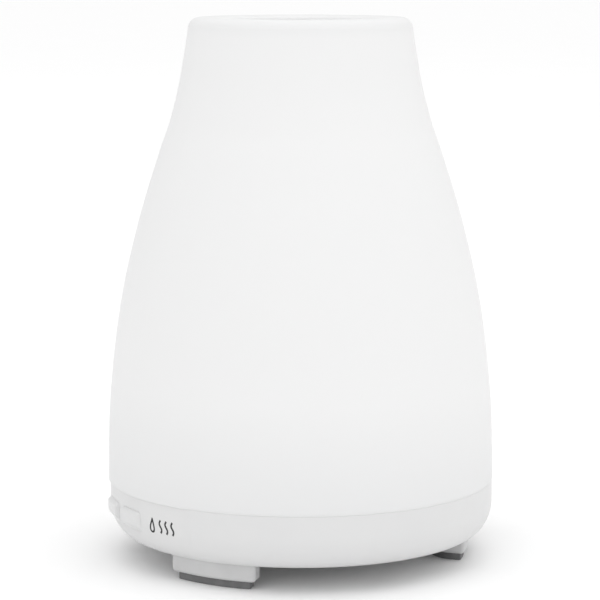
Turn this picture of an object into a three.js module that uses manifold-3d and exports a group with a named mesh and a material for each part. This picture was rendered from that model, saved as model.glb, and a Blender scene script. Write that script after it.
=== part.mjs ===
// Bottle-shaped ultrasonic mist humidifier: lift-off cover, mist guide, water tank, powered base.
// Millimetres, +Z up. The origin is on the surface it stands on, on the axis of the round body.
// The front, between the two push buttons, faces -Y, and the power inlet is at the back, +Y.
import * as THREE from "three";
import { mergeVertices } from "three/addons/utils/BufferGeometryUtils.js";
import Module from "manifold-3d";

const wasm = await Module();
wasm.setup();

// ---- Driving dimensions ----
const BODY_R = 60; // largest outside radius, at the parting line
const TOP_Z = 166.5; // crest of the cover's rim
const SEAM_Z = 23.7; // top edge of the base housing
const SEAM_GAP = 0.4; // parting line between cover and base
const GAP = 0.35; // clearance between pieces that meet
const BIG_SEGMENTS = 42; // facets round the large shells
const SMALL_SEGMENTS = 10; // facets round small pieces

// Outer cover
const COVER_WALL = 2.6;
const COVER_SIDE = [
  [60, SEAM_Z + SEAM_GAP],
  [59.05, 50],
  [55.6, 79],
  [49.95, 104],
  [43.7, 124.5],
  [40.4, 134],
  [37.45, 145],
  [35.35, 156.5],
  [34.35, 163],
];
const RIM_CREST_R = 31;
const MOUTH_R = 22.5; // inner edge of the rim
const MOUTH_BOTTOM_Z = 162.6;
const FUNNEL_SEAT_R = 25; // the funnel's flange sits under the rim, inside this radius
const SPOUT_R = 10; // hole at the bottom of the funnel
const SPOUT_Z = 148.6; // lower end of the funnel

// Mist guide (inner cover)
const GUIDE_WALL = 1.8;
const CHIMNEY_R = 10;
const CHIMNEY_TOP_Z = SPOUT_Z - 1;
const CHIMNEY_BOTTOM_Z = 105;
const COLLAR_TOP_Z = 114; // top of the collar that holds the chimney
const BRIM_R = 53;
const BRIM_Z = 68 + GAP;

// Water tank
const TANK_R = 49; // inside radius of the bowl
const TANK_WALL = 2.2;
const TANK_TOP_Z = 68;
const TANK_FLOOR_Z = 41;
const SHOULDER_Z = 29;
const SPIGOT_R = BODY_R - COVER_WALL - 0.4; // locates the cover and fits inside the base housing
const SPIGOT_BOTTOM_Z = 21.4;
const WELL_R = 8; // hole over the ultrasonic disc
const FILL_LINE_Z = 57;

// Base housing
const BASE_R = 59.9;
const BASE_WALL = 2.3;
const BASE_BOTTOM_Z = 7.75;
const BASE_FLOOR_Z = 9.95;
const BASE_FLAT_R = 53.5;
const ROUNDING_TOP_Z = 17.3; // the wall is straight above this height
const ROUNDING_POWER = 1.86; // superellipse exponent of the lower edge
const PANEL_DEPTH = 0.45; // recessed panel round the buttons
const PANEL_HALF_ANGLE = 33;

// Feet
const FOOT_ANGLES = [35.9, 155.9, 275.9]; // from the front, towards +X
const FOOT_SPAN = 33;
const FOOT_INNER_R = 40;
const FOOT_OUTER_R = 52.7;
const FOOT_CORNERS = [9, 1.2]; // inner and outer corner radius in plan
const FOOT_BOTTOM_Z = 2.3;
const PAD_SPAN = 29.6;
const PAD_INNER_R = 41;
const PAD_OUTER_R = 51.7;
const PAD_CORNERS = [8, 0.8];

// Buttons
const BUTTON_X = 7.55; // centre of each button, left or right of the front
const BUTTON_WIDTH = 11.7;
const BUTTON_BOTTOM_Z = 13.7;
const BUTTON_TOP_Z = 20;
const BUTTON_PROUD = 0.8; // above the round wall, falling to the panel at the lower edge
const BUTTON_BLEND = 2.4; // height over which it falls
const BUTTON_CORNER = 1.2;

// Fan and its duct
const FAN_Y = 30;
const FAN_SIZE = 30;
const FAN_BOTTOM_Z = 11.9;
const FAN_HEIGHT = 8;
const FAN_BORE_R = 13.6;
const DUCT_R = 7; // inside radius of the tank's air tube
const DUCT_WALL = 2;
const DUCT_BOTTOM_Z = 38;
const DUCT_TOP_Z = 62;
const DUCT_FLANGE_R = 10.4;
const DUCT_FLANGE_Z = 41.1; // the flange rests on the tank's floor
const DUCT_FLANGE_HEIGHT = 1.2;

// Boards
const BOARD_THICKNESS = 1.6;
const MAIN_BOARD_Z = 21;
const MAIN_BOARD_Y = -26;
const MAIN_BOARD_SIZE = [60, 28];
const LED_BOARD_Z = 34.6;
const LED_RING_R = 26.5;
const LED_RING_WIDTH = 7;
const LED_HALF_ANGLE = 118;
const BUTTON_BOARD_Y = -47.8;

// Screws that hold the base housing to the tank
const BASE_SCREW_ANGLES = [95.9, 215.9, 335.9];
const BASE_SCREW_RING_R = 50;

// ---- Materials ----
const finish = (color, roughness, metalness = 0) =>
  new THREE.MeshStandardMaterial({ color, roughness, metalness });
const WHITE_FROSTED = finish(0xf1f1f0, 0.55);
const WHITE_SATIN = finish(0xe6e6e5, 0.4);
const WHITE_TANK = finish(0xededeb, 0.35);
const GREY_RUBBER = finish(0x6b6b6b, 0.85);
const GREEN_BOARD = finish(0x1f5a3a, 0.5);
const BLACK_PLASTIC = finish(0x1c1c1e, 0.5);
const STEEL = finish(0xb9bcc0, 0.35, 1);
const BRASS = finish(0xc9a552, 0.35, 1);
const COPPER = finish(0xb5683a, 0.4, 1);
const SILICONE = finish(0xdad8d0, 0.7);
const LED_LENS = finish(0xfafaf2, 0.2);

// ---- Geometry helpers ----
const degrees = THREE.MathUtils.degToRad;
const v2 = (x, y) => new THREE.Vector2(x, y);

// A closed geometry as a solid whose faces point out.
function solid(geometry) {
  const bare = geometry.index ? geometry.toNonIndexed() : geometry.clone();
  bare.deleteAttribute("normal");
  bare.deleteAttribute("uv");
  const merged = mergeVertices(bare, 1e-4);
  const kept = [];
  const index = merged.index.array;
  for (let i = 0; i < index.length; i += 3) {
    const [a, b, c] = [index[i], index[i + 1], index[i + 2]];
    if (a !== b && b !== c && c !== a) kept.push(a, b, c);
  }
  const build = (triangles) =>
    new wasm.Manifold(
      new wasm.Mesh({
        numProp: 3,
        vertProperties: merged.attributes.position.array,
        triVerts: new Uint32Array(triangles),
      }),
    );
  const made = build(kept);
  return made.volume() < 0 ? build(kept.reverse()) : made;
}

const joined = (first, ...rest) => rest.reduce((sum, s) => sum.add(s), first);
const cut = (first, ...tools) => tools.reduce((left, s) => left.subtract(s), first);

// A solid turned about the Z axis from [radius, height] points; off the axis the outline is closed.
function turned(points, segments = SMALL_SEGMENTS, x = 0, y = 0) {
  const outline = points.map((p) => v2(p[0], p[1]));
  const touchesAxis = points[0][0] === 0 && points[points.length - 1][0] === 0;
  if (!touchesAxis) outline.push(outline[0].clone());
  const geometry = new THREE.LatheGeometry(outline, segments);
  geometry.rotateX(Math.PI / 2);
  return solid(geometry.translate(x, y, 0));
}

const rod = (r, z0, z1, x = 0, y = 0, segments = SMALL_SEGMENTS) =>
  turned([[0, z0], [r, z0], [r, z1], [0, z1]], segments, x, y);

const ring = (r0, r1, z0, z1, x, y, segments) =>
  turned([[r0, z0], [r1, z0], [r1, z1], [r0, z1]], segments, x, y);

function block(x0, x1, y0, y1, z0, z1) {
  const geometry = new THREE.BoxGeometry(x1 - x0, y1 - y0, z1 - z0);
  return solid(geometry.translate((x0 + x1) / 2, (y0 + y1) / 2, (z0 + z1) / 2));
}

// A flat outline in XY, raised from z0 to z1.
function raised(shape, z0, z1, curveSegments = 12) {
  const options = { depth: z1 - z0, bevelEnabled: false, curveSegments };
  return solid(new THREE.ExtrudeGeometry(shape, options).translate(0, 0, z0));
}

function roundedRectangle(x0, x1, y0, y1, r) {
  const shape = new THREE.Shape();
  shape.moveTo(x0 + r, y0);
  shape.lineTo(x1 - r, y0);
  shape.absarc(x1 - r, y0 + r, r, -Math.PI / 2, 0);
  shape.lineTo(x1, y1 - r);
  shape.absarc(x1 - r, y1 - r, r, 0, Math.PI / 2);
  shape.lineTo(x0 + r, y1);
  shape.absarc(x0 + r, y1 - r, r, Math.PI / 2, Math.PI);
  shape.lineTo(x0, y0 + r);
  shape.absarc(x0 + r, y0 + r, r, Math.PI, 1.5 * Math.PI);
  return shape;
}

// A prism along Y whose section in XZ is a rounded rectangle.
function frontPrism(x0, x1, z0, z1, r, y0, y1) {
  const shape = roundedRectangle(x0, x1, z0, z1, r);
  const options = { depth: y1 - y0, bevelEnabled: false, curveSegments: 4 };
  const geometry = new THREE.ExtrudeGeometry(shape, options);
  geometry.rotateX(Math.PI / 2);
  return solid(geometry.translate(0, y1, 0));
}

// Where an angle from the front, towards +X, lies on a circle.
const onCircle = (r, angle) => [r * Math.sin(degrees(angle)), -r * Math.cos(degrees(angle))];

// An annular sector centred on an angle from the front, with rounded inner and outer corners.
function sectorShape(r0, r1, angle, span, [inner, outer]) {
  const middle = degrees(angle - 90);
  const half = degrees(span / 2);
  const shape = new THREE.Shape();
  const innerTrim = inner / r0;
  const outerTrim = outer / r1;
  const at = (r, a) => [r * Math.cos(a), r * Math.sin(a)];
  const [start, end] = [middle - half, middle + half];
  shape.moveTo(...at(r1 - outer, start));
  shape.quadraticCurveTo(...at(r1, start), ...at(r1, start + outerTrim));
  shape.absarc(0, 0, r1, start + outerTrim, end - outerTrim);
  shape.quadraticCurveTo(...at(r1, end), ...at(r1 - outer, end));
  shape.lineTo(...at(r0 + inner, end));
  shape.quadraticCurveTo(...at(r0, end), ...at(r0, end - innerTrim));
  shape.absarc(0, 0, r0, end - innerTrim, start + innerTrim, true);
  shape.quadraticCurveTo(...at(r0, start), ...at(r0 + inner, start));
  return shape;
}

// Points of a quarter ellipse from angle a0 to a1 (degrees) about [r, z].
function quarter(r, z, radial, vertical, a0, a1, steps = 5) {
  return Array.from({ length: steps + 1 }, (_, i) => {
    const a = degrees(a0 + ((a1 - a0) * i) / steps);
    return [r + radial * Math.cos(a), z + vertical * Math.sin(a)];
  });
}

const smooth = (points, count) =>
  new THREE.SplineCurve(points.map((p) => v2(p[0], p[1]))).getPoints(count).map((p) => [p.x, p.y]);

// A screw along Z: a domed head and a shank, pointing up (direction 1) or down (-1) from its seat.
function screw(x, y, seatZ, headR, headHeight, shankR, length, direction) {
  const at = (r, d) => [r, seatZ + direction * d];
  const outline = [at(0, -headHeight), at(headR * 0.6, -headHeight), at(headR, -headHeight * 0.45)];
  outline.push(at(headR, 0), at(shankR, 0), at(shankR, length - shankR), at(0, length));
  return turned(outline, 8, x, y);
}

const group = new THREE.Group();

function node(name, material, made) {
  const mesh = made.getMesh();
  const geometry = new THREE.BufferGeometry();
  const positions = new THREE.BufferAttribute(new Float32Array(mesh.vertProperties), 3);
  geometry.setAttribute("position", positions);
  geometry.setIndex(new THREE.BufferAttribute(new Uint32Array(mesh.triVerts), 1));
  geometry.computeVertexNormals();
  const piece = new THREE.Mesh(geometry, material);
  piece.name = name;
  group.add(piece);
}

// ---- Outer cover ----
function outerCover() {
  const side = smooth(COVER_SIDE, 11);
  const rimTop = COVER_SIDE[COVER_SIDE.length - 1][1];
  const rim = quarter(RIM_CREST_R, rimTop, 34.35 - RIM_CREST_R, TOP_Z - rimTop, 25, 90, 3);
  const lip = [[MOUTH_R + 1.5, TOP_Z - 0.3], [MOUTH_R, TOP_Z - 1.5], [MOUTH_R, MOUTH_BOTTOM_Z]];
  const seat = [[FUNNEL_SEAT_R + 1.5, MOUTH_BOTTOM_Z], [FUNNEL_SEAT_R + 1.5, MOUTH_BOTTOM_Z + 0.9]];
  const inside = smooth(COVER_SIDE, 7).map(([r, z]) => [r - COVER_WALL, z]).reverse();
  const shoulder = [[inside[0][0] - 1.5, MOUTH_BOTTOM_Z + 0.9]];
  return turned([...side, ...rim, ...lip, ...seat, ...shoulder, ...inside], BIG_SEGMENTS);
}
node("outer_cover", WHITE_FROSTED, outerCover());

// Funnel pressed in under the cover's rim
function coverFunnel() {
  const flangeTop = MOUTH_BOTTOM_Z - GAP;
  const upper = [[MOUTH_R - 1.4, flangeTop], [15.5, 154.5], [SPOUT_R, 151.5], [SPOUT_R, SPOUT_Z]];
  const under = [[SPOUT_R + 2, SPOUT_Z], [SPOUT_R + 2, 150.3], [17, 152.8], [MOUTH_R - 0.5, flangeTop - 1.8]];
  const flange = [[FUNNEL_SEAT_R, flangeTop - 1.8], [FUNNEL_SEAT_R, flangeTop]];
  return turned([...upper, ...under, ...flange], 32);
}
node("cover_funnel", WHITE_FROSTED, coverFunnel());

// ---- Inner cover: a bell that leads the mist to the cover's spout ----
function innerCover() {
  const bell = smooth([[50.5, BRIM_Z + 1.9], [42, BRIM_Z + 5], [26, 84], [16, 98]], 7);
  const lining = bell.map(([r, z]) => [r - GUIDE_WALL, z]).reverse();
  const socketR = CHIMNEY_R + GAP;
  const outerR = socketR + GUIDE_WALL;
  const collar = [[outerR, CHIMNEY_BOTTOM_Z], [outerR, COLLAR_TOP_Z], [socketR, COLLAR_TOP_Z]];
  const ledgeR = CHIMNEY_R - GUIDE_WALL + 0.6;
  const ledge = [[socketR, CHIMNEY_BOTTOM_Z - GAP], [ledgeR, CHIMNEY_BOTTOM_Z - GAP], [ledgeR, 103.2]];
  const plugOuter = TANK_R - GAP;
  const plug = [[plugOuter - 1.7, 63], [plugOuter, 63], [plugOuter, BRIM_Z]];
  const brim = [[BRIM_R, BRIM_Z], [BRIM_R, BRIM_Z + 1.2], [BRIM_R - 0.8, BRIM_Z + 1.9]];
  lining.pop();
  return turned([...plug, ...brim, ...bell, ...collar, ...ledge, ...lining], 36);
}
node("inner_cover", WHITE_TANK, innerCover());

// Chimney pressed into the bell's collar
const chimneyHeights = [CHIMNEY_BOTTOM_Z, CHIMNEY_TOP_Z];
node("mist_chimney", WHITE_TANK, ring(CHIMNEY_R - GUIDE_WALL, CHIMNEY_R, ...chimneyHeights, 0, 0, 28));

// ---- Water tank with its air tube ----
const RETAINER_SCREW_ANGLES = [0, 120, 240];
const RETAINER_SCREW_R = 17.5;
const LED_SCREW_ANGLES = [-100, 0, 100];

function waterTank() {
  const outer = TANK_R + TANK_WALL;
  const bowl = turned(
    [
      [WELL_R, 36.2],
      [WELL_R, 38.4],
      [WELL_R + 2.5, 39.6],
      [TANK_R - 5, TANK_FLOOR_Z],
      ...quarter(TANK_R - 4, TANK_FLOOR_Z + 4.2, 4, 4, -70, 0, 4),
      [TANK_R, FILL_LINE_Z - 0.5],
      [TANK_R - 0.6, FILL_LINE_Z],
      [TANK_R, FILL_LINE_Z + 0.5],
      [TANK_R + 0.4, TANK_TOP_Z],
      [outer + 0.4, TANK_TOP_Z],
      [outer, SHOULDER_Z + 2],
      [outer + 1.5, SHOULDER_Z],
      [SPIGOT_R - 0.8, SHOULDER_Z],
      [SPIGOT_R, SHOULDER_Z - 1],
      [SPIGOT_R, SPIGOT_BOTTOM_Z],
      [SPIGOT_R - 2.2, SPIGOT_BOTTOM_Z],
      [SPIGOT_R - 2.2, SHOULDER_Z - 2.2],
      [TANK_R, SHOULDER_Z - 2.2],
      [TANK_R, 37.2],
      [TANK_R - 1.5, 38.7],
      [16, 37.4],
      [14.6, 36.6],
      [14.6, 32.2],
      [12.6, 32.2],
      [12.6, 36.2],
    ],
    BIG_SEGMENTS,
  );
  const parts = [];
  for (const angle of RETAINER_SCREW_ANGLES)
    parts.push(rod(2.8, 32.3, 38.4, ...onCircle(RETAINER_SCREW_R, angle)));
  for (const angle of LED_SCREW_ANGLES)
    parts.push(rod(2.4, LED_BOARD_Z + BOARD_THICKNESS + GAP, 38.8, ...onCircle(LED_RING_R, angle)));
  for (const angle of BASE_SCREW_ANGLES)
    parts.push(rod(3.4, 24.4, SHOULDER_Z - 0.5, ...onCircle(BASE_SCREW_RING_R, angle)));
  const holes = [rod(DUCT_R + DUCT_WALL + GAP, 30, DUCT_TOP_Z, 0, FAN_Y, 28)];
  for (const angle of RETAINER_SCREW_ANGLES)
    holes.push(rod(1.4, 30, 37, ...onCircle(RETAINER_SCREW_R, angle), 8));
  for (const angle of LED_SCREW_ANGLES)
    holes.push(rod(1.2, 30, 38, ...onCircle(LED_RING_R, angle), 8));
  for (const angle of BASE_SCREW_ANGLES)
    holes.push(rod(1.85, 20, SHOULDER_Z - 0.8, ...onCircle(BASE_SCREW_RING_R, angle), 8));
  return cut(joined(bowl, ...parts), ...holes);
}
node("water_tank", WHITE_TANK, waterTank());

// Air tube pressed through the tank's floor, with a flange that seals on it
function airTube() {
  const [r0, r1] = [DUCT_R, DUCT_R + DUCT_WALL];
  const flangeTop = DUCT_FLANGE_Z + DUCT_FLANGE_HEIGHT;
  const lower = [[r0, DUCT_BOTTOM_Z], [r1, DUCT_BOTTOM_Z], [r1, DUCT_FLANGE_Z]];
  const flange = [[DUCT_FLANGE_R, DUCT_FLANGE_Z], [DUCT_FLANGE_R, flangeTop], [r1, flangeTop]];
  return turned([...lower, ...flange, [r1, DUCT_TOP_Z], [r0, DUCT_TOP_Z]], 28, 0, FAN_Y);
}
node("air_tube", WHITE_TANK, airTube());

// ---- Base housing ----
// Outside of the housing's lower edge, moved in by an offset.
function lowerEdge(offset, steps) {
  const radial = BASE_R - BASE_FLAT_R;
  const vertical = ROUNDING_TOP_Z - BASE_BOTTOM_Z;
  return Array.from({ length: steps + 1 }, (_, i) => {
    const a = (Math.PI / 2) * (i / steps);
    const r = BASE_FLAT_R + radial * Math.sin(a) ** (2 / ROUNDING_POWER);
    const z = ROUNDING_TOP_Z - vertical * Math.cos(a) ** (2 / ROUNDING_POWER);
    return [r - offset * Math.sin(a), z + offset * Math.cos(a)];
  });
}

// A wedge seen from above, centred on the front.
function frontWedge(halfAngle, z0, z1) {
  const reach = 2 * BODY_R;
  const shape = new THREE.Shape();
  shape.moveTo(0, 0);
  shape.lineTo(-reach * Math.tan(degrees(halfAngle)), -reach);
  shape.lineTo(reach * Math.tan(degrees(halfAngle)), -reach);
  return raised(shape, z0, z1);
}

const JACK_Z = 15.8;
const JACK_BODY = [9.4, 10];
const JACK_FRONT_Y = BASE_R - BASE_WALL - GAP;
const MAIN_BOARD_POSTS = [[-26, -37], [26, -37], [-26, -15], [26, -15]];
const FAN_SCREW_OFFSET = 12.6;
const FAN_SCREWS = [[-1, -1], [1, 1]].map(([x, y]) => [x * FAN_SCREW_OFFSET, FAN_Y + y * FAN_SCREW_OFFSET]);
const FAN_POSTS = [[-1, 1], [1, -1]].map(([x, y]) => [x * FAN_SCREW_OFFSET, FAN_Y + y * FAN_SCREW_OFFSET]);
const FAN_SEAT_Z = FAN_BOTTOM_Z - GAP;

// Parallel inlet slots under the fan, inside a circle.
const INLET_R = 11;
const INLET_PITCH = 3.6;
const INLET_WIDTH = 2;
function inletSlots() {
  return [-3, -2, -1, 0, 1, 2, 3].map((i) => {
    const x = i * INLET_PITCH;
    const half = Math.sqrt(INLET_R ** 2 - x ** 2);
    return block(x - INLET_WIDTH / 2, x + INLET_WIDTH / 2, FAN_Y - half, FAN_Y + half, 5, 12);
  });
}

function buttonHole(side, clearance) {
  const half = BUTTON_WIDTH / 2 + clearance;
  const x = side * BUTTON_X;
  const [z0, z1] = [BUTTON_BOTTOM_Z - clearance, BUTTON_TOP_Z + clearance];
  return frontPrism(x - half, x + half, z0, z1, BUTTON_CORNER + clearance, -70, -50);
}

function baseHousing() {
  const outside = lowerEdge(0, 6);
  const inside = lowerEdge(BASE_WALL, 4).reverse();
  inside.pop();
  const innerR = BASE_R - BASE_WALL;
  const shell = turned(
    [
      [0, BASE_BOTTOM_Z],
      ...outside,
      [BASE_R, SEAM_Z - 0.3],
      [BASE_R - 0.3, SEAM_Z],
      [innerR, SEAM_Z],
      ...inside,
      [BASE_FLAT_R - 0.5, BASE_FLOOR_Z],
      [0, BASE_FLOOR_Z],
    ],
    BIG_SEGMENTS,
  );
  const skin = lowerEdge(PANEL_DEPTH, 6).slice(1);
  const panel = turned([...skin, [BASE_R - PANEL_DEPTH, 30], [70, 30], [70, skin[0][1]]], BIG_SEGMENTS);
  const parts = [];
  for (const angle of FOOT_ANGLES) {
    const foot = sectorShape(FOOT_INNER_R, FOOT_OUTER_R, angle, FOOT_SPAN, FOOT_CORNERS);
    parts.push(raised(foot, FOOT_BOTTOM_Z, BASE_BOTTOM_Z + 1, 6));
  }
  for (const angle of BASE_SCREW_ANGLES)
    parts.push(rod(4.2, BASE_FLOOR_Z - 1, 24, ...onCircle(BASE_SCREW_RING_R - 0.6, angle)));
  for (const [x, y] of MAIN_BOARD_POSTS) parts.push(rod(2.6, BASE_FLOOR_Z - 1, MAIN_BOARD_Z - GAP, x, y));
  for (const [x, y] of [...FAN_SCREWS, ...FAN_POSTS]) parts.push(rod(2.2, BASE_FLOOR_Z - 1, FAN_SEAT_Z, x, y));
  for (const x of [-11, 8]) parts.push(block(x, x + 3, -46, -43.5, BASE_FLOOR_Z - 1, 19.5));
  for (const x of [-7.6, 5.2]) parts.push(block(x, x + 2.4, 47, 56.4, BASE_FLOOR_Z - 1, 16));
  const holes = [panel.intersect(frontWedge(PANEL_HALF_ANGLE, 0, 40)), ...inletSlots()];
  for (const side of [-1, 1]) holes.push(buttonHole(side, GAP));
  for (const angle of BASE_SCREW_ANGLES) {
    const [x, y] = onCircle(BASE_SCREW_RING_R, angle);
    holes.push(rod(1.85, 5, 30, x, y, 8), rod(3.2, 5, 10.3, x, y, 12));
  }
  for (const [x, y] of MAIN_BOARD_POSTS) holes.push(rod(1.4, 12, 30, x, y, 8));
  for (const [x, y] of FAN_SCREWS) holes.push(rod(1.2, BASE_FLOOR_Z - 1.2, 30, x, y, 8));
  const port = new THREE.CylinderGeometry(5.2, 5.2, 20, 24).translate(0, 60, 0);
  holes.push(solid(port).translate([0, 0, JACK_Z]));
  return cut(joined(shell, ...parts), ...holes);
}
node("base_housing", WHITE_SATIN, baseHousing());

for (const [i, angle] of FOOT_ANGLES.entries()) {
  const shape = sectorShape(PAD_INNER_R, PAD_OUTER_R, angle, PAD_SPAN, PAD_CORNERS);
  node("foot_pad_" + (i + 1), GREY_RUBBER, raised(shape, 0, FOOT_BOTTOM_Z - GAP, 6));
}

for (const [i, angle] of BASE_SCREW_ANGLES.entries()) {
  const [x, y] = onCircle(BASE_SCREW_RING_R, angle);
  node("base_screw_" + (i + 1), STEEL, screw(x, y, 10, 2.8, 1.7, 1.45, 17.6, 1));
}

// ---- Buttons, switches and their board ----
const SWITCH_SIZE = 6;
const BUTTON_MID_Z = (BUTTON_BOTTOM_Z + BUTTON_TOP_Z) / 2;
const alongY = (r, y0, y1, x, z) => {
  const geometry = new THREE.CylinderGeometry(r, r, y1 - y0, 16);
  return solid(geometry.translate(x, (y0 + y1) / 2, z));
};

function button(side) {
  const rise = (z) => THREE.MathUtils.smoothstep(z, BUTTON_BOTTOM_Z, BUTTON_BOTTOM_Z + BUTTON_BLEND);
  const proud = (z) => (BUTTON_PROUD + PANEL_DEPTH) * rise(z) - PANEL_DEPTH;
  const face = lowerEdge(0, 12).slice(3).map(([r, z]) => [r + proud(z), z]);
  const cap = turned([[55.5, face[0][1]], ...face, [BASE_R + BUTTON_PROUD, 26], [55.5, 26]], 88);
  const behind = lowerEdge(BASE_WALL + 0.55, 6).slice(2);
  const flange = turned([[54.6, behind[0][1]], ...behind, [behind[4][0], 26], [54.6, 26]], 88);
  const x = side * BUTTON_X;
  const stem = alongY(1.6, -57, -53.2, x, BUTTON_MID_Z);
  return joined(
    cap.intersect(buttonHole(side, 0)),
    flange.intersect(buttonHole(side, 0.7)),
    stem,
  );
}

for (const [label, side] of [["light", -1], ["mist", 1]]) {
  const x = side * BUTTON_X;
  const half = SWITCH_SIZE / 2;
  const body = block(x - half, x + half, -51.6, -48.1, BUTTON_MID_Z - half, BUTTON_MID_Z + half);
  node(label + "_button", WHITE_SATIN, button(side));
  node(label + "_switch", STEEL, cut(body, alongY(2, -55, -49.3, x, BUTTON_MID_Z)));
  node(label + "_switch_plunger", BLACK_PLASTIC, alongY(1.6, -52.9, -50.4, x, BUTTON_MID_Z));
}
node("button_board", GREEN_BOARD, block(-15, 15, BUTTON_BOARD_Y, BUTTON_BOARD_Y + 1.4, 11.5, 22.5));

// ---- Ultrasonic disc and what holds it ----
node("ultrasonic_disc", BRASS, rod(10, 33.9, 34.9, 0, 0, 32));
const sealOutside = [[8.6, 32.5], [12.25, 32.5], [12.25, 35.85], [8.6, 35.85]];
const sealGroove = [[8.6, 35.2], [10.3, 35.2], [10.3, 33.6], [8.6, 33.6]];
node("disc_seal", SILICONE, turned([...sealOutside, ...sealGroove], 24));

function discRetainer() {
  const plate = ring(7, 14.6, 30.3, 31.9, 0, 0, 32);
  const spots = RETAINER_SCREW_ANGLES.map((angle) => onCircle(RETAINER_SCREW_R, angle));
  const ears = spots.map(([x, y]) => rod(3, 30.3, 31.9, x, y));
  const bridges = RETAINER_SCREW_ANGLES.map((angle) => {
    const arm = block(-3, 3, -RETAINER_SCREW_R, -10, 30.3, 31.9);
    return arm.rotate([0, 0, angle]);
  });
  return cut(joined(plate, ...ears, ...bridges), ...spots.map(([x, y]) => rod(1.4, 25, 35, x, y, 8)));
}
node("disc_retainer", WHITE_SATIN, discRetainer());

for (const [i, angle] of RETAINER_SCREW_ANGLES.entries()) {
  const [x, y] = onCircle(RETAINER_SCREW_R, angle);
  node("retainer_screw_" + (i + 1), STEEL, screw(x, y, 29.95, 2.4, 1.4, 1.05, 6, 1));
}

// ---- Light ring ----
function ledBoard() {
  const [r0, r1] = [LED_RING_R - LED_RING_WIDTH / 2, LED_RING_R + LED_RING_WIDTH / 2];
  const shape = sectorShape(r0, r1, 0, 2 * LED_HALF_ANGLE, [1, 1]);
  const holes = LED_SCREW_ANGLES.map((angle) => rod(1.3, 30, 40, ...onCircle(LED_RING_R, angle), 8));
  return cut(raised(shape, LED_BOARD_Z, LED_BOARD_Z + BOARD_THICKNESS, 12), ...holes);
}
node("led_board", GREEN_BOARD, ledBoard());

for (const [i, angle] of LED_SCREW_ANGLES.entries()) {
  const [x, y] = onCircle(LED_RING_R, angle);
  node("led_board_screw_" + (i + 1), STEEL, screw(x, y, LED_BOARD_Z - GAP, 2.1, 1.2, 0.9, 3.2, 1));
}

const LED_ANGLES = [-75, -45, -15, 15, 45, 75];
for (const [i, angle] of LED_ANGLES.entries()) {
  const z0 = LED_BOARD_Z + BOARD_THICKNESS + 0.3;
  const lamp = turned([[0, z0], [1.6, z0], [1.6, z0 + 0.3], [1.2, z0 + 0.8], [0, z0 + 0.95]], 12);
  const [x, y] = onCircle(LED_RING_R, angle);
  node("led_" + (i + 1), LED_LENS, lamp.translate([x, y, 0]));
}

// ---- Main board and what stands on it ----
const boardTop = MAIN_BOARD_Z + BOARD_THICKNESS;
function mainBoard() {
  const [w, d] = MAIN_BOARD_SIZE.map((size) => size / 2);
  const shape = roundedRectangle(-w, w, MAIN_BOARD_Y - d, MAIN_BOARD_Y + d, 3);
  const holes = MAIN_BOARD_POSTS.map(([x, y]) => rod(1.4, 15, 30, x, y, 8));
  return cut(raised(shape, MAIN_BOARD_Z, boardTop, 4), ...holes);
}
node("main_board", GREEN_BOARD, mainBoard());

for (const [i, [x, y]] of MAIN_BOARD_POSTS.entries())
  node("main_board_screw_" + (i + 1), STEEL, screw(x, y, boardTop + GAP, 2.3, 1.3, 1.05, 7, -1));

const partsZ = boardTop + 0.3;
const bobbin = [[0, 0], [5, 0], [5, 1], [4.2, 1.2], [4.2, 6.8], [5, 7], [5, 8], [0, 8]];
node("inductor", COPPER, turned(bobbin, 24).translate([-14, -30, partsZ]));
node("capacitor", BLACK_PLASTIC, rod(4, 0, 9.5, 0, 0, 24).translate([-2, -33, partsZ]));

function heatsink() {
  const base = block(-7, 7, -1, 1, 0, 9);
  const fins = [-5.5, -1.85, 1.85, 5.5].map((x) => block(x - 0.6, x + 0.6, 0.5, 5, 0, 9));
  return joined(base, ...fins).translate([13, -27, partsZ]);
}
node("heatsink", STEEL, heatsink());
node("power_transistor", BLACK_PLASTIC, block(9, 17, -31.6, -28.35, partsZ, partsZ + 8));

// A wire header: an open-topped box.
const header = (x0, x1, y0, y1) =>
  cut(block(x0, x1, y0, y1, partsZ, partsZ + 5.5), block(x0 + 1, x1 - 1, y0 + 1, y1 - 1, partsZ + 1.5, 40));
node("disc_connector", WHITE_SATIN, header(-9, -1, -19.5, -14));
node("fan_connector", WHITE_SATIN, header(4, 11, -19.5, -14));

// ---- Fan ----
function fanFrame() {
  const half = FAN_SIZE / 2;
  const [z0, z1] = [FAN_BOTTOM_Z, FAN_BOTTOM_Z + FAN_HEIGHT];
  const outline = roundedRectangle(-half, half, -half, half, 2);
  const square = raised(outline, z0, z1, 4);
  const hub = joined(rod(6, z0, z0 + 1.3, 0, 0, 16), rod(2.4, z0, z0 + 5.5, 0, 0, 12));
  const spokes = [60, 180, 300].map((angle) =>
    block(-0.9, 0.9, 3, FAN_BORE_R + 0.5, z0, z0 + 1.3).rotate([0, 0, angle]),
  );
  const frame = joined(cut(square, rod(FAN_BORE_R, 0, 40, 0, 0, 28)), hub, ...spokes);
  const corners = [-1, 1].flatMap((x) => [-1, 1].map((y) => [x * FAN_SCREW_OFFSET, y * FAN_SCREW_OFFSET]));
  const bearing = rod(1.3, z0 - 1, z0 + 9, 0, 0, 12);
  return cut(frame, bearing, ...corners.map(([x, y]) => rod(1.3, 0, 40, x, y, 8))).translate([0, FAN_Y, 0]);
}
node("fan_frame", BLACK_PLASTIC, fanFrame());

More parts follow.
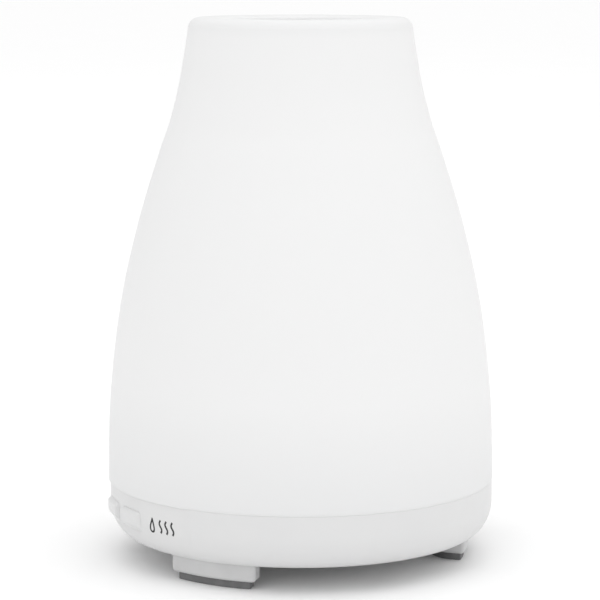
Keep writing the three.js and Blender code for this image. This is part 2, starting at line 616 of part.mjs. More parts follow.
function fanRotor() {
  const [z0, z1] = [FAN_BOTTOM_Z + 1.8, FAN_BOTTOM_Z + FAN_HEIGHT - 0.5];
  const cupOutside = [[0, z1], [6, z1], [6.4, z1 - 0.6], [6.4, z0], [5.2, z0], [5.2, z1 - 1]];
  const pin = [[0.95, z1 - 1], [0.95, z0 - 1], [0, z0 - 1]];
  const cup = turned([...cupOutside, ...pin], 24);
  const blades = Array.from({ length: 7 }, (_, i) => {
    const blade = block(-0.45, 0.45, 5.9, 13, -3.4, 3.4).rotate([0, 48, 0]);
    return blade.translate([0, 0, (z0 + z1) / 2 + 0.1]).rotate([0, 0, (360 / 7) * i]);
  });
  return joined(cup, ...blades).translate([0, FAN_Y, 0]);
}
node("fan_rotor", BLACK_PLASTIC, fanRotor());

for (const [i, [x, y]] of FAN_SCREWS.entries())
  node("fan_screw_" + (i + 1), STEEL, screw(x, y, FAN_BOTTOM_Z + FAN_HEIGHT + GAP, 2, 1.1, 0.9, 10.2, -1));

// Funnel from the fan's round mouth up to the tank's air tube
const DUCT_HOOD_Z = FAN_BOTTOM_Z + FAN_HEIGHT + GAP;
function airDuct() {
  const neck = DUCT_R - 0.3;
  const wall = 1.5;
  const outline = [[12.2, DUCT_HOOD_Z], [13.7, DUCT_HOOD_Z], [13.7, DUCT_HOOD_Z + 3], [neck + wall, 31]];
  outline.push([neck + wall, 37.6], [neck, 37.6], [neck, 31], [12.2, DUCT_HOOD_Z + 3]);
  return turned(outline, 24, 0, FAN_Y);
}
node("air_duct", BLACK_PLASTIC, airDuct());

// ---- Power inlet ----
function powerJack() {
  const [w, h] = JACK_BODY.map((size) => size / 2);
  const socket = alongY(3, JACK_FRONT_Y - 10, JACK_FRONT_Y + 1, 0, JACK_Z);
  const pin = alongY(1, JACK_FRONT_Y - 10.5, JACK_FRONT_Y - 4, 0, JACK_Z);
  const box = block(-w, w, JACK_FRONT_Y - 12, JACK_FRONT_Y - 3.6, JACK_Z - h, JACK_Z + h);
  const nose = alongY(4.6, JACK_FRONT_Y - 4, JACK_FRONT_Y + 0.8, 0, JACK_Z);
  return joined(cut(joined(box, nose), socket), pin);
}
node("power_jack", BLACK_PLASTIC, powerJack());

export default group;
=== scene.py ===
# Looks of a bottle-shaped ultrasonic mist humidifier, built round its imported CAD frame.
# Metres, +Z up. The front, between the two push buttons, faces -Y.
import math

import bmesh
import bpy
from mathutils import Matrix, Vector


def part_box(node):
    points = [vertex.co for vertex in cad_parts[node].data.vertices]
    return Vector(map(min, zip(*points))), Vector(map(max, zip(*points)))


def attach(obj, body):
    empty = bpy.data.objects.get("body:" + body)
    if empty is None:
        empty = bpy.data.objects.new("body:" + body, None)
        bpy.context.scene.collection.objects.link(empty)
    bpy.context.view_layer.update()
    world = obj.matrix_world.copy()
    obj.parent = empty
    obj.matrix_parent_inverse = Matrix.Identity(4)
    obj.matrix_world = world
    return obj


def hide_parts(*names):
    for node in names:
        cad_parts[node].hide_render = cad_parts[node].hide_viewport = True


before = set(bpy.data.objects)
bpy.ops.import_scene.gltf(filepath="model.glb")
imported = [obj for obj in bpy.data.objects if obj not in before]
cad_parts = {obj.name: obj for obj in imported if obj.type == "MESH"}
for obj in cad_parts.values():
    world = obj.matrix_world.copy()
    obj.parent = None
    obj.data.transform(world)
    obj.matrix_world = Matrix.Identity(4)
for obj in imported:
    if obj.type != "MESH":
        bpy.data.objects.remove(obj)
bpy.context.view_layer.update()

MM = 0.001

# ---- Driving sizes, millimetres ----
def mm_box(node):
    """A CAD node's lowest and highest corners."""
    low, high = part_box(node)
    return low / MM, high / MM


cover_low, cover_high = mm_box("outer_cover")
base_low, base_high = mm_box("base_housing")
tank_low, tank_high = mm_box("water_tank")
guide_low, guide_high = mm_box("inner_cover")
BODY_R = cover_high.x
SEAM_Z = base_high.z
TOP_Z = cover_high.z
COVER_BOTTOM_Z = cover_low.z
COVER_WALL = 2.6
COVER_SIDE = [
    (BODY_R, COVER_BOTTOM_Z), (59.05, 50), (55.6, 79), (49.95, 104), (43.7, 124.5),
    (40.4, 134), (37.45, 145), (35.35, 156.5), (34.35, 163),
]
RIM_CREST_R = 31
MOUTH_R = 22.5
SPOUT_R = 10
MOUTH_BOTTOM_Z = 162.6
FUNNEL_SEAT_R = 26.5
GUIDE_WALL = 1.8
CHIMNEY_R = mm_box("mist_chimney")[1].x
COLLAR_TOP_Z = guide_high.z
COLLAR_R = 12.15
LEDGE_Z = 104.65
BRIM_Z = 68.35
TANK_R = 49
TANK_WALL = 2.2
FILL_Z = 57
LEVEL_ANGLE = 30
WELL_R = 8
DUCT_R = 7
DUCT_WALL = 2
RETAINER_ANGLES = (0, 120, 240)
RETAINER_SCREW_R = 17.5
LED_SCREW_ANGLES = (-100, 0, 100)
LED_RING_R = 26.5
LED_HALF_ANGLE = 118
BOARD_POSTS = ((-26, -37), (26, -37), (-26, -15), (26, -15))
FAN_ROTOR_Z = (13.7, 19.4)
WIRE = 0.42  # the inductor's wire

BASE_R = base_high.x
BASE_BOTTOM_Z = 7.75
BASE_FLOOR_Z = 9.95
BASE_FLAT_R = 53.5
BASE_WALL = 2.3
ROUNDING_TOP_Z = 17.3
ROUNDING_POWER = 1.86
PANEL_DEPTH = 0.45
PANEL_HALF_ANGLE = 33
PANEL_EDGE = 1.6
SEAM_RISE = 0.28

FOOT_ANGLES = (35.9, 155.9, 275.9)
FOOT_SPAN = 33
FOOT_R = (40, 52.7)
FOOT_CORNERS = (9, 1.3)
PAD_SPAN = 28.6
PAD_R = (41, 51.35)
PAD_CORNERS = (8, 0.5)
FOOT_BOTTOM_Z = base_low.z
PAD_TOP_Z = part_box("foot_pad_1")[1].z / MM

BUTTON_WIDTH = 11.7
BUTTON_Z = (13.7, 20)
BUTTON_X = 7.55
BUTTON_PROUD = 0.8
BUTTON_BLEND = 2.4
BUTTON_CORNER = 1.2
BUTTON_GAP = 0.03
BUTTON_LIP = 0.05
FAN_Y = 30
JACK_Z = 15.8
PORT_R = 5.2
SCREW_ANGLES = (95.9, 215.9, 335.9)
SCREW_RING_R = 50
SCREW_HOLE_R = 3.2

# Heights between which the painted shade on the frosted cover fades out: low down over the base and around
# the rim
LOW_PAINTED_SHADE_Z = (24, 56)
RIM_SHADE_Z = (168, 161)

# ---- Camera ----
CAMERA_AZIMUTH = 67
CAMERA_DISTANCE = 0.7562
CAMERA_HEIGHT = 0.18625
CAMERA_PITCH = 8.05
CAMERA_LENS = 147.8
CAMERA_SHIFT = -0.0008


def on_circle(r, angle):
    """The point on a circle at an angle from the front, towards +X."""
    a = math.radians(angle)
    return (r * math.sin(a), -r * math.cos(a))


def make_camera():
    data = bpy.data.cameras.new("camera")
    data.lens = CAMERA_LENS
    data.sensor_width = 36
    data.clip_start = 0.01
    data.clip_end = 100
    data.shift_x = CAMERA_SHIFT
    camera = bpy.data.objects.new("camera", data)
    x, y = on_circle(CAMERA_DISTANCE, CAMERA_AZIMUTH)
    camera.location = (x, y, CAMERA_HEIGHT)
    tilt = math.radians(90 - CAMERA_PITCH)
    camera.rotation_euler = (tilt, 0, math.radians(CAMERA_AZIMUTH))
    bpy.context.scene.collection.objects.link(camera)
    bpy.context.scene.camera = camera


make_camera()


# ---- Materials ----
def new_node(tree, kind, **values):
    """A shader node with some inputs set, where From_Min stands for the socket From Min."""
    node = tree.nodes.new("ShaderNode" + kind)
    for socket, value in values.items():
        node.inputs[socket.replace("_", " ")].default_value = value
    return node


class Look:
    """A Principled material with helpers for the patterns that vary over the surface."""

    def __init__(self, name, color, metallic=0.0, specular=0.5):
        self.material = bpy.data.materials.new(name)
        self.material.use_nodes = True
        self.tree = self.material.node_tree
        self.links = self.tree.links
        self.shader = self.tree.nodes["Principled BSDF"]
        self.set("Base Color", (*color, 1))
        self.set("Metallic", metallic)
        self.set("Specular IOR Level", specular)
        self.place = new_node(self.tree, "TexCoord").outputs["Object"]
        self.height = None

    def set(self, socket, value):
        self.shader.inputs[socket].default_value = value

    def pattern(self, kind, **values):
        """A texture node placed in the object's own frame."""
        node = new_node(self.tree, kind, **values)
        self.links.new(self.place, node.inputs["Vector"])
        return node

    def noise(self, size_mm, detail, rough=0.5):
        """Noise whose features are about size_mm across, from 0 to 1."""
        values = {"Scale": 1 / (size_mm * MM), "Detail": detail, "Roughness": rough}
        return self.pattern("TexNoise", **values).outputs["Fac"]

    def ranged(self, value, low, high, from_low=0.3, from_high=0.7):
        """A pattern value moved to lie between low and high."""
        values = {"From_Min": from_low, "From_Max": from_high, "To_Min": low, "To_Max": high}
        node = new_node(self.tree, "MapRange", **values)
        self.links.new(value, node.inputs["Value"])
        return node.outputs["Result"]

    def tint(self, value, other):
        """The base colour runs to other as the pattern value goes from 0 to 1."""
        mix = new_node(self.tree, "Mix")
        mix.data_type = "RGBA"
        before = self.shader.inputs["Base Color"]
        if before.is_linked:
            self.links.new(before.links[0].from_socket, mix.inputs[6])
        else:
            mix.inputs[6].default_value = before.default_value
        mix.inputs[7].default_value = (*other, 1)
        self.links.new(value, mix.inputs["Factor"])
        self.links.new(mix.outputs[2], before)

    def height_fade(self, full_mm, none_mm):
        """From 1 at the first height to 0 at the second, in the piece's own frame."""
        split = self.pattern("SeparateXYZ")
        return self.ranged(split.outputs["Z"], 1, 0, full_mm * MM, none_mm * MM)

    def roughen(self, value, low, high):
        self.links.new(self.ranged(value, low, high), self.shader.inputs["Roughness"])

    def bump(self, value, depth_mm):
        """Adds relief of depth_mm from a pattern value."""
        node = new_node(self.tree, "Bump", Strength=1, Distance=depth_mm * MM)
        self.links.new(value, node.inputs["Height"])
        if self.height is not None:
            self.links.new(self.height, node.inputs["Normal"])
        self.height = node.outputs["Normal"]
        self.links.new(self.height, self.shader.inputs["Normal"])


WHITE_SCATTER = (1, 1, 1)
WARM_SCATTER = (1, 0.2, 0.1)


def surface(name, colors, rough, drift, grain, relief=(), metallic=0.0, specular=0.5, scatter=None):
    """A material whose colour drifts between two, whose roughness varies in a range, and which has relief.

    drift and grain give their noise's size in mm, its detail and its harshness, and so does each relief,
    which ends with its depth in mm. scatter gives the light below the surface: weight, colour and mm.
    """
    look = Look(name, colors[0], metallic, specular)
    if scatter:
        look.set("Subsurface Weight", scatter[0])
        look.set("Subsurface Radius", scatter[1])
        look.set("Subsurface Scale", scatter[2] * MM)
    if drift:
        look.tint(look.ranged(look.noise(*drift), 0, 1), colors[1])
    look.roughen(look.noise(*grain), *rough)
    for size, detail, harsh, depth in relief:
        look.bump(look.noise(size, detail, harsh), depth)
    return look


def frosted_white():
    """The cover's frosted plastic, with painted shade darkening it low down over the base and around the
    rim.
    """
    relief = [(0.35, 3, 0.6, 0.012), (9, 2, 0.5, 0.05)]
    look = surface(
        "frosted_white", [(0.81, 0.81, 0.81)], (0.44, 0.58), None, (6, 4), relief,
        specular=0.4, scatter=(0.25, WHITE_SCATTER, 2.5),
    )
    # Painted shade: the cover darkens towards the base, where the floor gives it less light
    look.tint(look.height_fade(*LOW_PAINTED_SHADE_Z), (0.75, 0.752, 0.754))
    # Painted shade: the rim crest is darkened to damp its highlight
    look.tint(look.height_fade(*RIM_SHADE_Z), (0.755, 0.757, 0.759))
    return look.material


def circuit_board():
    """Green solder mask over copper tracks."""
    look = Look("circuit_board", (0.02, 0.13, 0.055))
    black, white = (0, 0, 0, 1), (1, 1, 1, 1)
    tracks = look.pattern(
        "TexBrick", Scale=260, Mortar_Size=0.035, Color1=black, Color2=black, Mortar=white
    )
    look.tint(tracks.outputs["Color"], (0.07, 0.3, 0.12))
    look.roughen(look.noise(2, 3), 0.28, 0.42)
    look.bump(tracks.outputs["Color"], 0.03)
    return look.material


def nickel_disc():
    """Nickel-plated face of the ultrasonic disc with its finely turned surface."""
    colors = [(0.7, 0.69, 0.66), (0.58, 0.55, 0.5)]
    look = surface("nickel_disc", colors, (0.16, 0.34), (3, 4), (1, 4), metallic=1)
    rings = look.pattern("TexWave", Scale=900, Distortion=0.4)
    rings.wave_type = "RINGS"
    rings.rings_direction = "Z"
    look.bump(rings.outputs["Fac"], 0.004)
    return look.material


def pale_floor():
    look = Look("pale_floor", (0.965, 0.965, 0.965), specular=0.1)
    look.set("Roughness", 0.9)
    look.tint(look.ranged(look.noise(150, 3), 0, 1), (0.96, 0.96, 0.96))
    return look.material


FROSTED = frosted_white()
# The housing's moulded plastic has a fine spark-eroded grain
SATIN = surface(
    "satin_white", [(0.705, 0.705, 0.705), (0.69, 0.691, 0.693)], (0.34, 0.46), (18, 3), (4, 4),
    [(0.25, 3, 0.6, 0.008), (12, 2, 0.5, 0.03)], specular=0.45, scatter=(0.08, WHITE_SCATTER, 1),
).material
# The same plastic on the feet, painted a little greyer as shade, since they sit in the body's shadow
FOOT = surface(
    "foot_painted_shade", [(0.62, 0.62, 0.622), (0.57, 0.571, 0.573)], (0.38, 0.52), (8, 3), (3, 4),
    [(0.25, 3, 0.6, 0.008)], specular=0.4,
).material
BUTTON = surface(
    "button_white", [(0.7, 0.7, 0.7), (0.685, 0.687, 0.689)], (0.28, 0.4), (5, 3), (2, 4),
    [(0.2, 3, 0.6, 0.005)],
).material
TANK = surface(
    "tank_white", [(0.78, 0.785, 0.785), (0.765, 0.77, 0.77)], (0.32, 0.42), (16, 2, 0.4), (9, 3),
    [(3, 2, 0.5, 0.008)],
).material
RUBBER = surface(
    "grey_rubber", [(0.15, 0.15, 0.152), (0.19, 0.19, 0.192)], (0.68, 0.88), (2.5, 4, 0.6), (1.2, 3),
    [(0.3, 4, 0.7, 0.03)], specular=0.35,
).material
SILICONE = surface(
    "silicone", [(0.7, 0.69, 0.65)], (0.45, 0.65), None, (1, 3),
    [(0.5, 3, 0.5, 0.01)], specular=0.4, scatter=(0.3, WARM_SCATTER, 1.5),
).material
BOARD = circuit_board()
BLACK = surface(
    "black_plastic", [(0.018, 0.018, 0.019), (0.028, 0.028, 0.03)], (0.36, 0.55), (3, 4), (1.5, 4),
    [(0.3, 3, 0.7, 0.015)], specular=0.45,
).material
STEEL = surface(
    "plated_steel", [(0.62, 0.63, 0.65), (0.48, 0.49, 0.5)], (0.22, 0.45), (1.5, 4, 0.6), (0.8, 4),
    [(0.4, 3, 0.5, 0.01)], metallic=1,
).material
NICKEL = nickel_disc()
COPPER = surface(
    "copper_wire", [(0.55, 0.2, 0.07), (0.42, 0.14, 0.05)], (0.22, 0.36), (1.5, 3), (0.8, 3), metallic=1,
).material
LENS = surface(
    "lamp_lens", [(0.92, 0.86, 0.55), (0.95, 0.92, 0.75)], (0.1, 0.22), (0.7, 3), (0.5, 3),
    specular=0.6, scatter=(0.3, WARM_SCATTER, 0.5),
).material
INK = surface(
    "printed_ink", [(0.012, 0.012, 0.013), (0.025, 0.025, 0.027)], (0.38, 0.55), (0.3, 3), (0.2, 3),
    specular=0.4,
).material


# ---- Mesh helpers: points are in millimetres ----
def new_object(name, mesh):
    obj = bpy.data.objects.new(name, mesh)
    bpy.context.scene.collection.objects.link(obj)
    return obj


def smooth(mesh, sharp_angle=35):
    """Smooth shading, with edges that stay sharp above an angle."""
    mesh.polygons.foreach_set("use_smooth", [True] * len(mesh.polygons))
    mesh.set_sharp_from_angle(angle=math.radians(sharp_angle))


def mesh_object(name, points, faces, sharp_angle=35):
    """A smooth-shaded object with its faces turned out."""
    mesh = bpy.data.meshes.new(name)
    mesh.from_pydata([Vector(p) * MM for p in points], [], faces)
    bm = bmesh.new()
    bm.from_mesh(mesh)
    bmesh.ops.recalc_face_normals(bm, faces=bm.faces)
    bm.to_mesh(mesh)
    bm.free()
    smooth(mesh, sharp_angle)
    mesh.update()
    return new_object(name, mesh)


def spline(points, count):
    """Points on a uniform Catmull-Rom curve through the given ones."""
    result = []
    last = len(points) - 1
    for k in range(count + 1):
        t = last * k / count
        i = min(int(t), last - 1)
        w = t - i
        p1, p2 = points[i], points[i + 1]
        p0 = points[i - 1] if i > 0 else p1
        p3 = points[i + 2] if i + 2 <= last else p2
        result.append(tuple(catmull(w, *values) for values in zip(p0, p1, p2, p3)))
    return result


def catmull(t, p0, p1, p2, p3):
    v0, v1 = (p2 - p0) / 2, (p3 - p1) / 2
    cubic = (2 * p1 - 2 * p2 + v0 + v1) * t ** 3
    square = (-3 * p1 + 3 * p2 - 2 * v0 - v1) * t ** 2
    return cubic + square + v0 * t + p1


def arc(r, z, radial, vertical, start, end, steps=8):
    """Points of an elliptical arc about (r, z), angles in degrees."""
    angles = [math.radians(start + (end - start) * i / steps) for i in range(steps + 1)]
    return [(r + radial * math.cos(a), z + vertical * math.sin(a)) for a in angles]


def turned(name, profile, segments=96, centre=(0, 0), shift=None, sharp_angle=35):
    """A closed profile turned about a vertical axis. shift(x, y, z) may move a point."""
    points, faces, rows = [], [], []
    for r, z in profile:
        count = 1 if r < 1e-6 else segments
        rows.append([len(points) + k for k in range(count)])
        for k in range(count):
            a = 2 * math.pi * k / segments
            p = (r * math.sin(a), -r * math.cos(a), z)
            p = shift(*p) if shift else p
            points.append((p[0] + centre[0], p[1] + centre[1], p[2]))
    for low, high in zip(rows, rows[1:] + rows[:1]):
        if len(low) == 1 and len(high) == 1:
            continue
        for k in range(segments):
            n = (k + 1) % segments
            corners = [low[k % len(low)], low[n % len(low)], high[n % len(high)], high[k % len(high)]]
            faces.append(list(dict.fromkeys(corners)))
    return mesh_object(name, points, faces, sharp_angle)


def stacked(name, loops, ring=False):
    """Loops of equal length, skinned and closed at both ends, or round to the first in a ring."""
    points = [p for loop in loops for p in loop]
    count, n = len(loops), len(loops[0])
    faces = []
    for j in range(count if ring else count - 1):
        after = (j + 1) % count
        for k in range(n):
            m = (k + 1) % n
            faces.append((j * n + k, j * n + m, after * n + m, after * n + k))
    if not ring:
        faces += [tuple(reversed(range(n))), tuple(range((count - 1) * n, count * n))]
    return mesh_object(name, points, faces)


def join(name, *objects):
    """One object with the meshes of several, which are removed."""
    bm = bmesh.new()
    for obj in objects:
        bm.from_mesh(obj.data)
    mesh = bpy.data.meshes.new(name)
    bm.to_mesh(mesh)
    bm.free()
    for obj in objects:
        bpy.data.objects.remove(obj)
    smooth(mesh)
    return new_object(name, mesh)


def boolean(obj, cutters, operation="DIFFERENCE"):
    """Cuts or joins the cutters, which are removed, and keeps the result as plain mesh."""
    for cutter in cutters:
        modifier = obj.modifiers.new("cut", "BOOLEAN")
        modifier.operation = operation
        modifier.solver = "EXACT"
        modifier.object = cutter
    bpy.context.view_layer.update()
    depsgraph = bpy.context.evaluated_depsgraph_get()
    mesh = bpy.data.meshes.new_from_object(obj.evaluated_get(depsgraph))
    obj.modifiers.clear()
    obj.data = mesh
    for cutter in cutters:
        bpy.data.objects.remove(cutter)
    smooth(mesh)


def finish_piece(obj, material, body, slot, *nodes):
    obj.data.materials.clear()
    obj.data.materials.append(material)
    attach(obj, body)
    if nodes:
        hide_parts(*nodes)


def rectangle_loop(x, z, half_w, half_h, corner, grow=0.0, steps=8):
    """A rounded rectangle as (x, z) points, grown by an offset."""
    w, h, r = half_w + grow, half_h + grow, max(corner + grow, 0.02)
    loop = []
    for cx, cz, start in ((w - r, h - r, 0), (r - w, h - r, 90), (r - w, r - h, 180), (w - r, r - h, 270)):
        for k in range(steps + 1):
            a = math.radians(start + 90 * k / steps)
            loop.append((x + cx + r * math.cos(a), z + cz + r * math.sin(a)))
    return divided(loop, 1.2)


def divided(loop, longest):
    """The loop with its long sides divided, so that it can follow a curved wall."""
    result = []
    for p, q in zip(loop, loop[1:] + loop[:1]):
        count = 6 if math.dist(p, q) > longest else 1
        for k in range(count):
            t = k / count
            result.append((p[0] + (q[0] - p[0]) * t, p[1] + (q[1] - p[1]) * t))
    return result


def circle_loop(x, y, r, count=48):
    angles = [2 * math.pi * k / count for k in range(count)]
    return [(x + r * math.cos(a), y + r * math.sin(a)) for a in angles]


def sector_loop(radii, angle, span, corners, grow=0.0, arc_steps=24, corner_steps=8):
    """An annular sector as (x, y) points, centred on an angle from the front.

    corners gives the rounding of its inner and its outer corners, and grow an offset on every side.
    """
    r0, r1 = radii[0] - grow, radii[1] + grow
    middle = (r0 + r1) / 2
    half = math.radians(span / 2) * middle + grow
    inner, outer = (max(c + grow, 0.05) for c in corners)
    width = (r1 - r0) / 2
    flat = []
    for k in range(arc_steps + 1):
        flat.append(((half - inner) * (2 * k / arc_steps - 1), -width))
    flat += corner_points(half - inner, inner - width, inner, -90, corner_steps)
    flat += corner_points(half - outer, width - outer, outer, 0, corner_steps)
    for k in range(arc_steps + 1):
        flat.append(((half - outer) * (1 - 2 * k / arc_steps), width))
    flat += corner_points(outer - half, width - outer, outer, 90, corner_steps)
    flat += corner_points(inner - half, inner - width, inner, 180, corner_steps)
    turn = math.radians(angle)
    return [
        ((middle + v) * math.sin(turn + u / middle), -(middle + v) * math.cos(turn + u / middle))
        for u, v in flat
    ]


def corner_points(x, y, r, start, steps):
    angles = [math.radians(start + 90 * k / steps) for k in range(1, steps)]
    return [(x + r * math.cos(a), y + r * math.sin(a)) for a in angles]


# ---- Outer cover ----
def make_outer_cover():
    side = spline(COVER_SIDE, 96)
    top = COVER_SIDE[-1][1]
    crest = arc(RIM_CREST_R, top, COVER_SIDE[-1][0] - RIM_CREST_R, TOP_Z - top, 8, 90, 14)
    low = MOUTH_BOTTOM_Z
    mouth = [(27, TOP_Z - 0.08), (24.2, TOP_Z - 0.32)]
    mouth += arc(MOUTH_R + 1.2, TOP_Z - 1.75, 1.2, 1.35, 100, 175, 8)
    mouth += [(MOUTH_R, low + 0.3), (MOUTH_R + 0.3, low)]
    seat = [(FUNNEL_SEAT_R, low), (FUNNEL_SEAT_R, low + 0.9), (30, low + 0.9)]
    inside = [(r - COVER_WALL, z) for r, z in reversed(side)]
    foot = [(BODY_R - COVER_WALL + 0.3, COVER_BOTTOM_Z), (BODY_R - 0.4, COVER_BOTTOM_Z)]
    foot += arc(BODY_R - 0.4, COVER_BOTTOM_Z + 0.4, 0.4, 0.4, -75, -10, 5)
    outer = [p for p in side if p[1] > COVER_BOTTOM_Z + 0.7]
    inner = [p for p in inside if p[1] > COVER_BOTTOM_Z + 0.3]
    profile = [*foot, *outer, *crest, *mouth, *seat, *inner]
    cover = turned("cover_shell", profile, 256, sharp_angle=60)
    finish_piece(cover, FROSTED, "outer_cover", "cover_frosted", "outer_cover")


make_outer_cover()


# ---- Base housing ----
def base_radius(z):
    """Outside radius of the housing at a height."""
    if z >= ROUNDING_TOP_Z:
        return BASE_R
    share = min((ROUNDING_TOP_Z - z) / (ROUNDING_TOP_Z - BASE_BOTTOM_Z), 1)
    return BASE_FLAT_R + (BASE_R - BASE_FLAT_R) * (1 - share ** ROUNDING_POWER) ** (1 / ROUNDING_POWER)


def lower_edge(offset, steps):
    """The housing's rounded lower edge, moved in by an offset, from the flat up."""
    result = []
    for i in range(steps + 1):
        a = math.pi / 2 * i / steps
        r = BASE_FLAT_R + (BASE_R - BASE_FLAT_R) * math.sin(a) ** (2 / ROUNDING_POWER)
        z = ROUNDING_TOP_Z - (ROUNDING_TOP_Z - BASE_BOTTOM_Z) * math.cos(a) ** (2 / ROUNDING_POWER)
        result.append((r - offset * math.sin(a), z + offset * math.cos(a)))
    return result


def smooth_step(t):
    t = min(max(t, 0), 1)
    return t * t * (3 - 2 * t)


def panel_share(x, y):
    """1 inside the recessed button panel, 0 outside it, with a soft edge."""
    angle = abs(math.degrees(math.atan2(x, -y)))
    edge = math.degrees(PANEL_EDGE / BASE_R)
    return smooth_step((PANEL_HALF_ANGLE - angle) / edge + 0.5)


def recess_panel(x, y, z):
    r = math.hypot(x, y)
    if r < base_radius(z) - BASE_WALL / 2 or r < BASE_FLAT_R - 1:
        return x, y, z
    low = smooth_step((r - BASE_FLAT_R) / 2)
    inset = PANEL_DEPTH * panel_share(x, y) * low
    return x * (1 - inset / r), y * (1 - inset / r), z


def wall_point(x, z, proud, back=False):
    """The point of the front or back wall straight in from (x, z), proud of it by an amount."""
    r = base_radius(z) + proud
    y = math.sqrt(r * r - x * x)
    return x, y if back else -y, z


def lip_steps(lip):
    """How far a rounded lip stands off the hole and below the face, in steps, and a small overshoot."""
    for k in range(6):
        a = math.pi / 2 * k / 5
        yield lip * (1 - math.cos(a)), lip * (1 - math.sin(a)), 0.02 * k / 5


def lipped_cutter(name, outline, lip, proud, back=False, depth=6):
    """A cutter along Y for a hole in the round wall, which leaves a rounded lip."""
    levels = [(0, proud - depth)]
    levels += [(grow, proud - sink + over) for grow, sink, over in lip_steps(lip)]
    levels.append((lip + 0.2, proud + 1.5))
    return stacked(name, [[wall_point(x, z, out, back) for x, z in outline(grow)] for grow, out in levels])


def floor_cutter(name, outline, lip, top):
    """A cutter along Z for a hole in the flat underside, which leaves a rounded lip."""
    levels = [(0, top)]
    levels += [(grow, BASE_BOTTOM_Z + sink - over) for grow, sink, over in lip_steps(lip)]
    levels.append((lip + 0.2, BASE_BOTTOM_Z - 1))
    return stacked(name, [[(x, y, z) for x, y in outline(grow)] for grow, z in levels])


def button_outline(side, grow):
    half_h = (BUTTON_Z[1] - BUTTON_Z[0]) / 2
    middle = (BUTTON_Z[1] + BUTTON_Z[0]) / 2
    return rectangle_loop(side * BUTTON_X, middle, BUTTON_WIDTH / 2, half_h, BUTTON_CORNER, grow)


INLET_R = 11
INLET_PITCH = 3.6
INLET_WIDTH = 2


def inlet_cutters():
    cutters = []
    for i in range(-3, 4):
        x = i * INLET_PITCH
        half = math.sqrt(INLET_R ** 2 - x ** 2)
        outline = lambda grow, x=x, half=half: rectangle_loop(
            x, FAN_Y, INLET_WIDTH / 2, half, INLET_WIDTH / 2 - 0.05, grow
        )
        cutters.append(floor_cutter("inlet_cut", outline, 0.3, BASE_FLOOR_Z + 1))
    return cutters


def make_base_housing():
    outer = lower_edge(0, 28)
    inner = list(reversed(lower_edge(BASE_WALL, 12)))[:-1]
    top = [(BASE_R, 18 + 0.8 * k) for k in range(8)]
    seam = SEAM_Z + SEAM_RISE
    lip = arc(BASE_R - 0.25, seam - 0.25, 0.25, 0.25, 0, 90, 5)
    inner_r = BASE_R - BASE_WALL
    inside = [(inner_r + 0.2, seam), (inner_r, seam - 0.3), *inner, (BASE_FLAT_R - 0.5, BASE_FLOOR_Z)]
    underside = [(0, BASE_BOTTOM_Z), (BASE_FLAT_R * 0.6, BASE_BOTTOM_Z)]
    profile = [*underside, *outer, *top, *lip, *inside, (0, BASE_FLOOR_Z)]
    shell = turned("housing_shell", profile, 288, shift=recess_panel)
    cutters = inlet_cutters()
    for side in (-1, 1):
        outline = lambda grow, side=side: button_outline(side, BUTTON_GAP + grow)
        cutters.append(lipped_cutter("button_cut", outline, BUTTON_LIP, -PANEL_DEPTH))
    port = lambda grow: circle_loop(0, JACK_Z, PORT_R + grow)
    cutters.append(lipped_cutter("port_cut", port, 0.5, 0, back=True, depth=8))
    for angle in SCREW_ANGLES:
        x, y = on_circle(SCREW_RING_R, angle)
        outline = lambda grow, x=x, y=y: circle_loop(x, y, SCREW_HOLE_R + grow, 40)
        cutters.append(floor_cutter("screw_cut", outline, 0.35, BASE_FLOOR_Z - 0.3))
    boolean(shell, cutters)
    finish_piece(shell, SATIN, "base", "housing_satin", "base_housing")


make_base_housing()


def foot_loops(radii, angle, span, corners, z_top, z_bottom, edge):
    """Loops of a block that hangs from z_top with a rounded lower edge."""
    loops = [[(x, y, z_top) for x, y in sector_loop(radii, angle, span, corners)]]
    for k in range(8):
        a = math.pi / 2 * k / 7
        z = z_bottom + edge * (1 - math.sin(a))
        loop = sector_loop(radii, angle, span, corners, -edge * (1 - math.cos(a)))
        loops.append([(x, y, z) for x, y in loop])
    inner = sector_loop(radii, angle, span, corners, -edge - 0.3)
    loops.append([(x, y, z_bottom) for x, y in inner])
    return loops


def make_feet():
    for i, angle in enumerate(FOOT_ANGLES, 1):
        loops = foot_loops(FOOT_R, angle, FOOT_SPAN, FOOT_CORNERS, BASE_BOTTOM_Z + 0.6, FOOT_BOTTOM_Z, 1.1)
        finish_piece(stacked(f"foot_block_{i}", loops), FOOT, "base", "housing_satin")
        loops = foot_loops(PAD_R, angle, PAD_SPAN, PAD_CORNERS, PAD_TOP_Z + 0.6, 0, 0.3)
        finish_piece(stacked(f"rubber_pad_{i}", loops), RUBBER, "base", "pad_rubber", f"foot_pad_{i}")


make_feet()


# ---- Buttons ----
BUTTON_EDGE = 1.2
BUTTON_FLUSH = 0.12  # what is left of the step at the button's lower edge


def button_proud(z):
    """How far the button's face stands off the round wall: it falls to the panel at the lower edge."""
    rise = smooth_step((z - BUTTON_Z[0]) / BUTTON_BLEND)
    return (BUTTON_PROUD + PANEL_DEPTH - BUTTON_FLUSH) * rise - PANEL_DEPTH + BUTTON_FLUSH


def button_step(z):
    """How far the edge falls away at a height, down to the panel."""
    return button_proud(z) + PANEL_DEPTH


